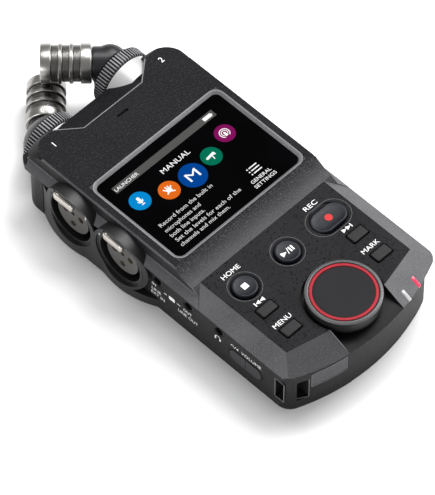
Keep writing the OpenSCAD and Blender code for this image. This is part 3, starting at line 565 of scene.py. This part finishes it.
poly_set("ui_glyph_cast", up(19.44, 25.92, IZ), arc(0, 0.1, 1.75, 2.1, -60, 240) + arc(0, 0.1, 1.05, 1.35, -50, 230) + [circ_pts(0.5, 16), rrect_pts(0.7, 1.3, 0.25, 4)] +
         [bar(-0.5, -0.9, 0.5, -0.9, 0.9)], 0, 0.012, "case", "ui_white")
LINES = [("Record from the built in", -25.3, 13.2, 25.4), ("microphones and", -25.4, 10.3, 16.8), ("both line inputs.", -25.5, 7.55, 16.2),
         ("Set the levels for each of the", -25.5, 4.9, 31.4), ("channels and mix them.", -25.7, 2.3, 23.6)]
for i, (s, x, y, w) in enumerate(LINES):
    text(f"ui_line_{i + 1}", s, up(x + w / 2, y, UZ + 0.01), 1.62, "case", "ui_text", width=w, bold=0.07)
poly_set("ui_menu_icon", up(15.6, 7.6, UZ), [bar(-1.6, dy, 2.3, dy, 0.42) for dy in (1.3, 0, -1.3)] + [rrect_pts(0.5, 0.5, 0.2, 3)] and
         [bar(-1.4, dy, 2.4, dy, 0.45) for dy in (1.35, 0, -1.35)] + [bar(-2.5, dy, -1.95, dy, 0.5) for dy in (1.35, 0, -1.35)], 0, 0.012, "case", "ui_white")
text("ui_menu_1", "GENERAL", up(15.1, 3.75, UZ + 0.01), 1.45, "case", "ui_white", width=9.3, bold=0.03)
text("ui_menu_2", "SETTINGS", up(15.1, 1.45, UZ + 0.01), 1.45, "case", "ui_white", width=10.2, bold=0.03)

# ---------------------------------------------------------------- control keys
PZ = 26.4
KT = 26.9


def well(name, x, y, outline):
    """Dished surround of a key: outline(r) gives the shape grown to radius r."""
    lv = [(outline(6.35), 26.38), (outline(6.3), 26.46), (outline(6.1), 26.46), (outline(5.85), 26.25), (outline(5.35), 25.75),
          (outline(5.08), 25.35), (outline(5.08), 25.0), (outline(6.0), 25.1)]
    ring_stack(name, up(x, y, 0), lv, "case", "well")


def round_key(name, node, x, y, outline, body):
    e = 4.75
    lv = [(outline(e - 0.1), 23.8), (outline(e), 24.2), (outline(e), 26.45), (outline(e - 0.12), 26.72), (outline(e - 0.42), 26.88), (outline(e - 0.75), 26.9),
          (outline(e - 1.05), 26.84), (outline(e - 1.8), 26.72), (outline(e - 3.0), 26.66)]
    stack(name, up(x, y, 0), lv, body, "key", replaces=(node,), sharp=50)


well("well_stop", -21, -24, lambda r: circ_pts(r, 64))
well("well_play", 0, -24, lambda r: circ_pts(r, 64))
well("well_rec", 20.4, -24, lambda r: stad_pts(2.8, r, 24))
round_key("key_stop", "stop_button", -21, -24, lambda r: circ_pts(r, 64), "stop_key")
round_key("key_play", "play_button", 0, -24, lambda r: circ_pts(r, 64), "play_key")
round_key("key_rec", "rec_button", 20.4, -24, lambda r: stad_pts(2.8, r, 24), "rec_key")
GZ = 26.67
slab("glyph_stop", up(-21, -24, GZ), rrect_pts(2.3, 2.3, 0.15, 2), 0, 0.05, "stop_key", "ink")
poly_set("glyph_play", up(0, -24, GZ), [[(-2.9, -1.1), (-0.6, 0), (-2.9, 1.1)], bar(-0.35, -1.25, 0.55, 1.25, 0.28), bar(1.2, -1.1, 1.2, 1.1, 0.62), bar(2.3, -1.1, 2.3, 1.1, 0.62)], 0, 0.05, "play_key", "ink")
slab("glyph_rec", up(20.4, -24, GZ), circ_pts(1.45, 32), 0, 0.06, "rec_key", "recdot")


def small_key(name, node, x, y, body):
    o = lambda g: rrect_pts(7.2 - 2 * g, 4.4 - 2 * g, max(0.2, 0.7 - g), 5)
    stack(name, up(x, y, 0), [(o(0.0), 24.0), (o(0.0), 26.55), (o(0.10), 26.78), (o(0.32), 26.89), (o(0.7), 26.9)], body, "keys", replaces=(node,), sharp=50)


small_key("key_rewind", "rewind_button", -22.4, -36.0, "rewind_key")
small_key("key_forward", "forward_button", 22.4, -36.0, "forward_key")
small_key("key_menu", "menu_button", -22.4, -47.4, "menu_key")
small_key("key_mark", "mark_button", 22.4, -47.4, "mark_key")

LZ = PZ + 0.015
text("legend_home", "HOME", up(-20.2, -16.3, LZ), 1.9, "case", "ink", width=8.2, bold=0.12)
text("legend_rec", "REC", up(19.6, -15.9, LZ), 1.9, "case", "ink", width=5.9, bold=0.12)
text("legend_menu", "MENU", up(-22.3, -43.3, LZ), 1.9, "case", "ink", width=8.1, bold=0.12)
text("legend_mark", "MARK", up(21.6, -42.9, LZ), 1.9, "case", "ink", width=7.9, bold=0.12)
poly_set("legend_rewind", up(-22.1, -32.0, LZ), [[(2.3, -0.85), (2.3, 0.85), (0.35, 0)], [(0.3, -0.85), (0.3, 0.85), (-1.6, 0)], bar(-1.9, -0.85, -1.9, 0.85, 0.42)], -0.01, 0.02, "case", "ink")
poly_set("legend_forward", up(21.8, -31.6, LZ), [[(-2.3, -0.85), (-0.35, 0), (-2.3, 0.85)], [(-0.3, -0.85), (1.6, 0), (-0.3, 0.85)], bar(1.9, -0.85, 1.9, 0.85, 0.42)], -0.01, 0.02, "case", "ink")
text("digit_1", "1", up(-26.86, 64.2, 30.612), 2.35, "case", "ink", bold=0.2)
text("digit_2", "2", up(26.2, 64.4, 30.612), 2.35, "case", "ink", bold=0.2)

# ---------------------------------------------------------------- dial
R = 13.7
NF, rows = 96, 9
verts, faces, idx = [], [], []
prof = [(R - 1.5, 22.9), (R - 0.9, 23.1), (R - 0.45, 23.5), (R - 0.35, 23.9)]
dz = 3.3 / rows
levels = [("s", r, z) for r, z in prof] + [("k", R - 0.35, 24.2 + dz * j, j) for j in range(rows + 1)] + \
         [("s", R - 0.35, 27.75), ("s", R - 0.1, 27.95), ("s", R, 28.25), ("s", R, 28.85), ("s", R - 0.2, 29.18), ("s", R - 0.55, 29.36), ("s", R - 0.95, 29.4), ("s", R - 1.35, 29.34), ("s", R - 1.52, 29.2), ("s", R - 1.52, 28.6)]
nn = NF * 2
D0 = up(0, -51, 0)
for lv in levels:
    for k in range(nn):
        a = 2 * math.pi * k / nn
        r = lv[1]
        if lv[0] == "k" and 0 < lv[3] < rows:
            r += 0.27 if (k + lv[3]) % 2 == 0 else -0.12
        verts.append(tuple(D0 @ Vector((r * math.cos(a), r * math.sin(a), lv[2]))))
for j in range(len(levels) - 1):
    for k in range(nn):
        k2 = (k + 1) % nn
        a, b = j * nn, (j + 1) * nn
        faces.append((a + k, a + k2, b + k2, b + k))
        # alternate knurl facets take a lighter colour as painted sheen
        knurl = levels[j][0] == "k" and levels[j + 1][0] == "k" and (k + j) % 2 == 0
        # rim chamfer faces take the painted highlight
        idx.append(2 if knurl else 1 if 28.8 < levels[j][2] < 29.3 and levels[j + 1][2] > levels[j][2] else 0)
faces.append(tuple(range(nn - 1, -1, -1)))
idx.append(0)
faces.append(tuple((len(levels) - 1) * nn + k for k in range(nn)))
idx.append(0)
piece("dial_body", verts, faces, "dial", ("dial", "dial_rim_painted_highlight", "dial_knurl_painted_sheen"), index=idx, replaces=("dial_knob",), sharp=60)
lathe("dial_glow_ring", D0, [(12.07, 28.7), (12.07, 29.22), (11.95, 29.33), (11.5, 29.38), (11.05, 29.34), (10.95, 29.24), (10.95, 28.7)], "dial", "red", n=144, replaces=("dial_ring",))
turned("dial_top", D0, [(0, 28.6), (10.90, 28.6), (10.90, 28.98), (10.80, 29.1), (10.5, 29.16), (9.6, 29.15), (6, 29.10), (3, 29.08), (0, 29.08)], "dial", "dial_cap", n=144, replaces=("dial_cap",))

# ---------------------------------------------------------------- microphones
ZR = {1: 12.1, 2: 17.5}
ZH = {1: 7.85, 2: 22.85}
SG = {1: -1, 2: 1}


def head_m(i):
    s = SG[i]
    c = math.sqrt(0.5)
    ez = Vector((-s * c, c, 0))
    ex = Vector((c, s * c, 0))
    ey = ez.cross(ex)
    return frame_at(s * 11.8, 85.3, ZH[i], ex, ey, ez)


def ring_m(i):
    # z along +Y of the case, starting on the ring's near face
    return frame_at(SG[i] * 17.6, 73.8, ZR[i], (1, 0, 0), (0, 0, -1), (0, 1, 0))


for i in (1, 2):
    hm, b = head_m(i), f"mic_{i}"
    prof, seg = [], []

    def band(z0, z1, first=False, last=False):
        return [(6.75, z0 + 0.02), (7.05, z0 + 0.03), (7.3, z0 + 0.28), (7.3, z1 - 0.28), (7.05, z1 - 0.03), (6.75, z1 - 0.02)]

    p = [(4.9, -2.7), (5.0, -2.6), (5.0, 0.0), (6.9, 0.0), (7.05, 0.05), (7.3, 0.35), (7.3, 3.72), (7.05, 3.97), (6.3, 4.0)]
    for z0 in (6.5, 10.5):
        p += [(6.3, z0), (7.05, z0 + 0.03), (7.3, z0 + 0.28), (7.3, z0 + 1.22), (7.05, z0 + 1.47), (6.3, z0 + 1.5)]
    p += [(6.3, 14.5), (7.05, 14.53), (7.3, 14.8), (7.3, 18.0), (7.16, 18.3), (6.9, 18.4), (6.45, 18.4), (6.3, 18.25), (6.3, 17.75), (5.1, 17.7), (5.1, 2.0), (4.0, 1.9), (4.0, -2.7)]
    seg = [1 if (k in (3, 4)) or (p[k][1] > 18.2 and p[k][0] > 6.3) else 0 for k in range(len(p))]
    lathe(f"mic_{i}_barrel", hm, p, b, ("mic", "mic_end"), n=96, segs=seg, replaces=(f"mic_{i}_head",), sharp=40)
    n = 120
    for k, z0 in enumerate((4.02, 8.02, 12.02)):
        zz = [z0, z0 + 0.15] + [z0 + 0.3 + j * 0.31 for j in range(7)] + [z0 + 2.3, z0 + 2.46]
        rr = [6.45, 6.6] + [6.62] * 7 + [6.6, 6.45]
        pr = list(zip(rr, zz)) + [(6.25, z0 + 2.46), (6.25, z0)]
        rings, uvs = [], []
        for q in range(n):
            a = 2 * math.pi * q / n
            rings.append(tf(hm, [(r * math.cos(a), r * math.sin(a), z) for r, z in pr]))
            uvs += [(q * 0.346 * 2.2, (z - z0) * 2.2) for r, z in pr]
        v, f = loft(rings, cap=False, wrap=True)
        o = piece(f"mic_{i}_grille_{k + 1}", v, f, b, "mesh", uvs=uvs)
        if k == 0:
            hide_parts(f"mic_{i}_mesh")
    # domed tip grille
    pr = [(0, 17.6), (6.26, 17.6), (6.26, 17.85), (5.6, 18.02), (4, 18.16), (2, 18.24), (0, 18.26)]
    n = 72
    o = turned(f"mic_{i}_tip_grille", hm, pr, b, "mesh", n=n)
    uvl = o.data.uv_layers.new(name="UVMap")
    inv = hm.inverted()
    for li, l in enumerate(o.data.loops):
        co = o.data.vertices[l.vertex_index].co
        q = inv @ Vector((co.x * 1000 - OX, co.y * 1000 - OY, co.z * 1000))
        uvl.data[li].uv = (q.x * 2.2, q.y * 2.2)
    # small clamp screw under the base band
    sd = Vector((0, 0, -1)) if i == 2 else Vector((0, 0, -1))
    base = Vector(hm @ Vector((0, 0, 2.0)))
    toward = Vector((-0.35, -0.35, -0.87)).normalized() if i == 2 else Vector((-0.35, -0.35, 0.87)).normalized()
    ax = Vector((hm[0][2], hm[1][2], hm[2][2]))
    toward = (toward - ax * toward.dot(ax)).normalized()
    sm = frame_at(*(base + toward * 7.05), ax, toward.cross(ax), toward)
    turned(f"mic_{i}_screw", sm, [(0, -0.3), (0.95, -0.3), (0.95, 0.3), (0.8, 0.42), (0.35, 0.42), (0.3, 0.2), (0, 0.2)], b, "screw" if False else "steel", n=20)

    # knurled ring
    rm = ring_m(i)
    NK = 60
    verts, faces, idx = [], [], []
    lay = [(0.0, -0.75, 0), (0.18, -0.35, 0), (0.45, 0.0, 1), (4.55, 0.0, 1), (4.82, -0.35, 0), (5.0, -0.75, 0)]
    pat = [(0.10, 1.0), (0.52, 1.0), (0.64, 0.0), (0.98, 0.0)]
    npt = NK * len(pat)
    for z, dr, kn in lay:
        for k in range(NK):
            mark = i == 2 and k in (44, 45)
            for a_, lv_ in pat:
                ang = 2 * math.pi * (k + a_) / NK
                r = 11.8 + dr - (0.0 if kn == 0 else (0.0 if lv_ or mark else 0.62)) - (0.0 if kn else (0.0 if lv_ else 0.3))
                verts.append(tuple(rm @ Vector((r * math.cos(ang), r * math.sin(ang), z))))
    for j in range(len(lay) - 1):
        for k in range(npt):
            k2 = (k + 1) % npt
            a, c = j * npt, (j + 1) * npt
            faces.append((a + k, a + k2, c + k2, c + k))
            t = k % 4
            idx.append(0 if t == 0 else 1)
    # faces of the ring round the arm's boss
    for j, zc in ((0, 0.0), (len(lay) - 1, 5.0)):
        k0 = len(verts)
        for k in range(npt):
            ang = 2 * math.pi * (k // 4 + pat[k % 4][0]) / NK
            verts.append(tuple(rm @ Vector((5.0 * math.cos(ang), 5.0 * math.sin(ang), zc))))
        a = j * npt
        for k in range(npt):
            k2 = (k + 1) % npt
            faces.append((a + k, a + k2, k0 + k2, k0 + k))
            idx.append(1)
    k0, k1 = len(lay) * npt, (len(lay) + 1) * npt
    for k in range(npt):
        k2 = (k + 1) % npt
        faces.append((k0 + k, k0 + k2, k1 + k2, k1 + k))
        idx.append(1)
    piece(f"mic_{i}_knurled_ring", verts, faces, b, ("crest", "valley"), index=idx, replaces=(f"mic_{i}_ring",), smooth=True, sharp=30)

    # elbow: union of simple solids, remeshed and smoothed into one casting
    bm = bmesh.new()

    def add_cyl(m4, r, z0, z1):
        t = m4 @ Matrix.Translation((0, 0, (z0 + z1) / 2))
        bmesh.ops.create_cone(bm, cap_ends=True, segments=72, radius1=r, radius2=r, depth=z1 - z0, matrix=t)

    def add_sph(c, r, cut=None):
        bmesh.ops.create_icosphere(bm, subdivisions=5, radius=r, matrix=Matrix.Translation(c))

    yc = 73.8 + 5.02
    # dome on the ring face
    dome = []
    for j in range(15):
        t = j / 14
        y = yc + 6.6 * t
        rr_ = min(10.4, math.sqrt(max(0.01, 11.7 ** 2 - (y - (73.8 - 0.18)) ** 2)))
        dome.append((rr_, y - 73.8))
    rings = [[Vector((r * math.cos(2 * math.pi * k / 72), r * math.sin(2 * math.pi * k / 72), z)) for k in range(72)] for r, z in dome]
    vs = [[bm.verts.new(rm @ q) for q in ring_] for ring_ in rings]
    for j in range(len(vs) - 1):
        for k in range(72):
            bm.faces.new((vs[j][k], vs[j][(k + 1) % 72], vs[j + 1][(k + 1) % 72], vs[j + 1][k]))
    bm.faces.new(list(reversed(vs[0])))
    bm.faces.new(vs[-1])
    add_cyl(hm, 6.25, -9.0, -0.12)
    add_sph(Vector((SG[i] * 17.0, 73.8 + 7.5, ZH[i])), 6.4)
    bmesh.ops.recalc_face_normals(bm, faces=bm.faces)
    # keep clear of the ring
    bmesh.ops.bisect_plane(bm, geom=bm.verts[:] + bm.edges[:] + bm.faces[:], plane_co=(0, yc, 0), plane_no=(0, -1, 0), clear_outer=True)
    edges = [e for e in bm.edges if len(e.link_faces) == 1]
    bmesh.ops.holes_fill(bm, edges=edges)
    for v in bm.verts:
        v.co = P(*v.co)
    me = bpy.data.meshes.new(f"mic_{i}_elbow")
    bm.to_mesh(me)
    bm.free()
    o = bpy.data.objects.new(f"mic_{i}_elbow", me)
    COL.objects.link(o)
    md = o.modifiers.new("r", "REMESH")
    md.mode = "VOXEL"
    md.voxel_size = 0.00030
    sm_ = o.modifiers.new("s", "SMOOTH")
    sm_.iterations = 14
    sm_.factor = 0.5
    bpy.context.view_layer.update()
    me2 = bpy.data.meshes.new_from_object(o.evaluated_get(bpy.context.evaluated_depsgraph_get()))
    o.modifiers.clear()
    o.data = me2
    me2.name = f"mic_{i}_elbow"
    for q in me2.polygons:
        q.use_smooth = True
    me2.materials.clear()
    me2.materials.append(M["mic_dark"])
    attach(o, b)
    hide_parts(f"mic_{i}_arm")

# ---------------------------------------------------------------- input sockets
for i, yy in ((3, 45.2), (4, 20.5)):
    lm = left(-36.6, yy, 15.8)
    # frame at the socket's mouth, not used further
    mm = left(-37.7, yy, 15.8)
    # latch: crowned bar with hammered top
    o = lambda g: [(x, y + 0.0) for x, y in rrect_pts(9.6 - 2 * g, 3.7 - 2 * g, max(0.3, 1.3 - g), 6)]
    fm = left(0, yy + 2.2, 24.4)
    stack(f"latch_{i}_tab", fm, [(o(0.25), 37.9), (o(0.0), 38.2), (o(0.0), 39.0), (o(0.18), 39.35), (o(0.55), 39.6), (o(1.1), 39.69)], f"latch_{i}", "latch", replaces=(f"input_{i}_latch",), sharp=60)
    slab(f"latch_{i}_stem", left(0, yy + 4.7, 24.5), rrect_pts(2.9, 2.4, 0.2, 3), 34.3, 38.3, f"latch_{i}", "latch")

# ---------------------------------------------------------------- left wall details
text("legend_in", "IN", left(-35.22, 6.3, 12.1), 1.5, "case", "ink", bold=0.1)
text("legend_ext", "EXT IN", left(-35.22, 4.4, 6.9), 1.5, "case", "ink", width=6.6, bold=0.1)
text("legend_mic", "LINE", left(-35.22, 5.2, 9.2), 1.5, "case", "ink", width=4.6, bold=0.1)
poly_set("legend_camera", left(-35.215, -2.5, 11.6), [bar(-3.9, 0, -2.5, 0, 0.35), rrect_pts(2.9, 1.9, 0.4, 4), bar(2.5, 0, 4.2, 0, 0.35)], 0, 0.02, "case", "ink")
text("legend_out", "OUT", left(-35.22, -10.2, 11.2), 1.5, "case", "ink", width=4.2, bold=0.1)
text("legend_line_out", "LINE OUT", left(-35.22, -10.4, 8.6), 1.5, "case", "ink", width=9.6, bold=0.1)
poly_set("legend_phones", left(-35.215, -25.0, 11.0), arc(0, 0.1, 0.95, 1.25, -30, 210) + [rrect_pts(0.6, 1.0, 0.15, 2)] and
         arc(0, 0.0, 1.0, 1.3, -10, 190) + [[(x - 1.15, y - 0.5) for x, y in rrect_pts(0.75, 1.2, 0.2, 3)], [(x + 1.15, y - 0.5) for x, y in rrect_pts(0.75, 1.2, 0.2, 3)]], 0, 0.02, "case", "ink")
text("legend_volume", "VOLUME", left(-35.22, -41.2, 13.5), 1.5, "case", "ink", width=9.6, bold=0.1)
poly_set("legend_volume_icons", left(-35.215, -33.6, 13.5), arc(-1.5, -0.15, 0.48, 0.74, -10, 190) + [bar(-0.45, -0.65, 0.1, 0.65, 0.22), bar(0.75, -0.25, 0.75, 0.25, 0.5), bar(1.15, -0.6, 1.15, 0.6, 0.3)], 0, 0.02, "case", "ink")

# ---------------------------------------------------------------- painted edge highlights, as thin rounded beads
def bead(name, pts, r, body, mats, closed=False, n=8):
    pts = [Vector(p) for p in pts]
    m = len(pts)
    rings = []
    for k in range(m):
        if closed:
            t = (pts[(k + 1) % m] - pts[k - 1]).normalized()
        else:
            t = (pts[min(k + 1, m - 1)] - pts[max(k - 1, 0)]).normalized()
        e1 = t.cross(Vector((0.31, 0.23, 0.92)))
        e1.normalize()
        e2 = t.cross(e1)
        rings.append([tuple(pts[k] + (e1 * math.cos(2 * math.pi * j / n) + e2 * math.sin(2 * math.pi * j / n)) * r) for j in range(n)])
    v, f = loft(rings, cap=not closed, wrap=closed)
    return piece(name, v, f, body, mats, sharp=70)


bead("edge_plate_left", [(-34.0, -3.0, 30.32), (-34.0, 20, 30.32), (-34.0, 58.0, 30.32)], 0.29, "case", "edge2")
bead("edge_plate_right", [(34.0, -3.0, 30.32), (34.0, 20, 30.32), (34.0, 58.0, 30.32)], 0.29, "case", "edge2")
bead("edge_notch", [(-22.6, 68.95, 30.2), (-14.3, 62.15, 30.2), (14.3, 62.15, 30.2), (22.6, 68.95, 30.2)], 0.41, "case", "edge")
for s_, n_ in ((-1, "left"), (1, "right")):
    bead("edge_slope_" + n_, [(s_ * 34.0, -3.0, 30.36), (s_ * 34.3, -5.2, 28.75), (s_ * 34.35, -7.6, 27.35), (s_ * 34.3, -11.9, 26.25), (s_ * 34.35, -15.0, 24.1)], 0.24, "case", "edge2")
    bead("edge_scoop_" + n_, [(s_ * 13.5, -57.6, 26.22), (s_ * 13.5, -62.2, 24.1), (s_ * 13.5, -66.6, 22.05)], 0.18, "case", "edge")
# outline of the end cover: a bead in the rim colour as a painted highlight along the edge
cov = [(x, 9.85) for x in (-26.2, -22, -18, -14, -12.7)] + [(-12.45, z) for z in (10.2, 13.5, 16.9)] + [(x, 17.2) for x in (-12.7, -14, -18, -22, -26.2)] + [(-26.4, z) for z in (16.9, 13.5, 10.2)]
bead("outline_end_cover", [(x, 16.0 - math.sqrt(82.0 ** 2 - x * x) - 0.02, z) for x, z in cov], 0.17, "adapter_lid", "rim", closed=True)


# strap slot rims: beads in the rim colour as painted highlights
def slot_rim(name, pts):
    bead(name, pts, 0.20, "case", "rim", closed=True)


slot_rim("rim_slot_side", [(-35.14, y, z) for y, z in ((-56.9, 4.8), (-56.7, 4.55), (-52.9, 4.55), (-52.65, 4.8), (-52.65, 14.8), (-52.9, 15.05), (-56.7, 15.05), (-56.9, 14.8))])
slot_rim("rim_slot_end", [(x, 16.0 - math.sqrt(82.0 ** 2 - x * x) + 0.1 + (0.9 if x < -30.5 else 0.0), z) for x, z in
                          ((-31.5, 4.8), (-31.3, 4.55), (-27.5, 4.55), (-27.25, 4.8), (-27.25, 14.8), (-27.5, 15.05), (-31.3, 15.05), (-31.5, 14.8))])
# volume keys: their bevelled edges take the painted edge highlight
for n_ in ("volume_plus_button", "volume_minus_button"):
    dress(n_, ("well", "edge"), lambda x, y, z, n: 0, bevel=0.32, seg=2, edge=1)
# dark bead in the gap round the volume keys: painted shade
vol = left(-35.16, -38.6, 8.65)
bead("gap_volume", tf(vol, [(x, y, 0.0) for x, y in stad_pts(5.08, 2.90, 20)]), 0.20, "case", "scoop", closed=True)
text("digit_3", "3", left(-38.42, 36.9, 24.0), 1.7, "case", "ink")
text("digit_4", "4", left(-38.12, 30.6, 21.3), 1.7, "case", "ink")

# ---------------------------------------------------------------- light pipes over the edge
def wall_y(x):
    return 16.0 - math.sqrt(82.0 ** 2 - x * x)


def flare_y(x, z):
    return wall_y(x) - 2.1 * (z - 17.7) / 4.5


def bevel_y(x, z):
    return -55.25 + (x - 22.4) * math.tan(math.radians(13.6)) - (26.4 - z) / (math.tan(math.radians(24.9)) * math.cos(math.radians(13.6)))


for name, x, node, m_ in (("light_peak", 17.4, "peak_light_pipe", "ledclear"), ("light_rec", 23.9, "rec_light_pipe", "ledred")):
    path = [(19.35, 0.0), (19.6, 0.14), (20.6, 0.2), (21.4, 0.2), (21.95, 0.18), (22.3, 0.12), (22.7, 0.14), (23.2, 0.16), (23.6, 0.1), (23.75, -0.05)]
    rings = []
    for z, h in path:
        y = flare_y(x, z) if z < 22.2 else bevel_y(x, z)
        nrm = Vector((0, -0.906, -0.42)) if z < 21.7 else (Vector((0, -0.82, 0.3)).normalized() if z < 22.5 else Vector((0, -0.41, 0.91)))
        sec = [(-0.62, -0.8), (0.62, -0.8), (0.66, -0.05), (0.5, 0.07), (0.2, 0.12), (-0.2, 0.12), (-0.5, 0.07), (-0.66, -0.05)]
        rings.append([(x + dx, y + nrm.y * (dh + h), z + nrm.z * (dh + h)) for dx, dh in sec])
    v, f = loft(rings)
    piece(name, v, f, "case", m_, replaces=(node,), sharp=50)
    for k, (x0, x1) in enumerate(((-1.0, -0.45), (-0.2, 0.35), (0.55, 1.0))):
        pts = []
        for off in (0.0, 0.04):
            pts += [(x + dx, flare_y(x + dx, z) - off, z - off * 0.45) for dx, z in ((x0, 18.1), (x1, 18.1), (x1, 18.75), (x0, 18.75))]
        piece(f"{name}_tick_{k + 1}", pts, [(0, 1, 2, 3), (7, 6, 5, 4), (0, 4, 5, 1), (1, 5, 6, 2), (2, 6, 7, 3), (3, 7, 4, 0)], "case", "ink", smooth=False)

# ---------------------------------------------------------------- stage, light, camera
def area(name, loc, target, size, power, col=(1, 1, 1)):
    d = bpy.data.lights.new(name, "AREA")
    d.shape = "RECTANGLE"
    d.size, d.size_y = size
    d.energy = power
    d.color = col
    o = bpy.data.objects.new(name, d)
    COL.objects.link(o)
    o.location = Vector(loc)
    o.rotation_euler = (Vector(target) - Vector(loc)).to_track_quat("-Z", "Y").to_euler()
    return o


me = bpy.data.meshes.new("floor")
me.from_pydata([(-4, -4, 0), (4, -4, 0), (4, 4, 0), (-4, 4, 0)], [], [(0, 1, 2, 3)])
fl = bpy.data.objects.new("floor", me)
COL.objects.link(fl)
fm_ = bpy.data.materials.new("floor_white")
fm_.use_nodes = True
fb = fm_.node_tree.nodes["Principled BSDF"]
fb.inputs["Base Color"].default_value = (0.93, 0.93, 0.93, 1)
fb.inputs["Roughness"].default_value = 0.9
fb.inputs["Specular IOR Level"].default_value = 0.1
me.materials.append(fm_)
fl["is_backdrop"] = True

world = bpy.data.worlds.new("studio")
bpy.context.scene.world = world
world.use_nodes = True
bg = world.node_tree.nodes["Background"]
bg.inputs["Color"].default_value = (1, 1, 1, 1)
bg.inputs["Strength"].default_value = 0.42

area("key", (0.72, 0.10, 1.05), (0, 0, 0), (0.75, 0.75), 19.0)
area("top", (0.10, 0.45, 1.15), (0, 0, 0), (0.5, 0.5), 5.0)
area("side", (0.95, -0.45, 0.35), (0, 0, 0.01), (0.4, 0.3), 3.0)
area("fill", (-0.95, -0.15, 0.30), (0, 0, 0.01), (0.5, 0.2), 2.2)

cam = bpy.data.cameras.new("camera")
cam.sensor_width = 36.0
cam.sensor_fit = "AUTO"
cam.lens = 338.9
cam.clip_start = 0.1
cam.clip_end = 20
co = bpy.data.objects.new("camera", cam)
COL.objects.link(co)
back = Vector((-0.41558, -0.41370, 0.81003)).normalized()
tgt = P(-12.594, -2.3517, 20.0)
co.location = tgt + back * 1.6209
rt = Vector((0, 0, 1)).cross(back).normalized()
co.matrix_world = Matrix.Translation(co.location) @ Matrix((rt, back.cross(rt), back)).transposed().to_4x4()
bpy.context.scene.camera = co
bpy.context.scene.view_settings.view_transform = "Standard"

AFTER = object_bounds()


def plain(b):
    try:
        return [[float(c) for c in v] for v in b]
    except TypeError:
        return str(b)


{"before": plain(BEFORE), "after": plain(AFTER)}
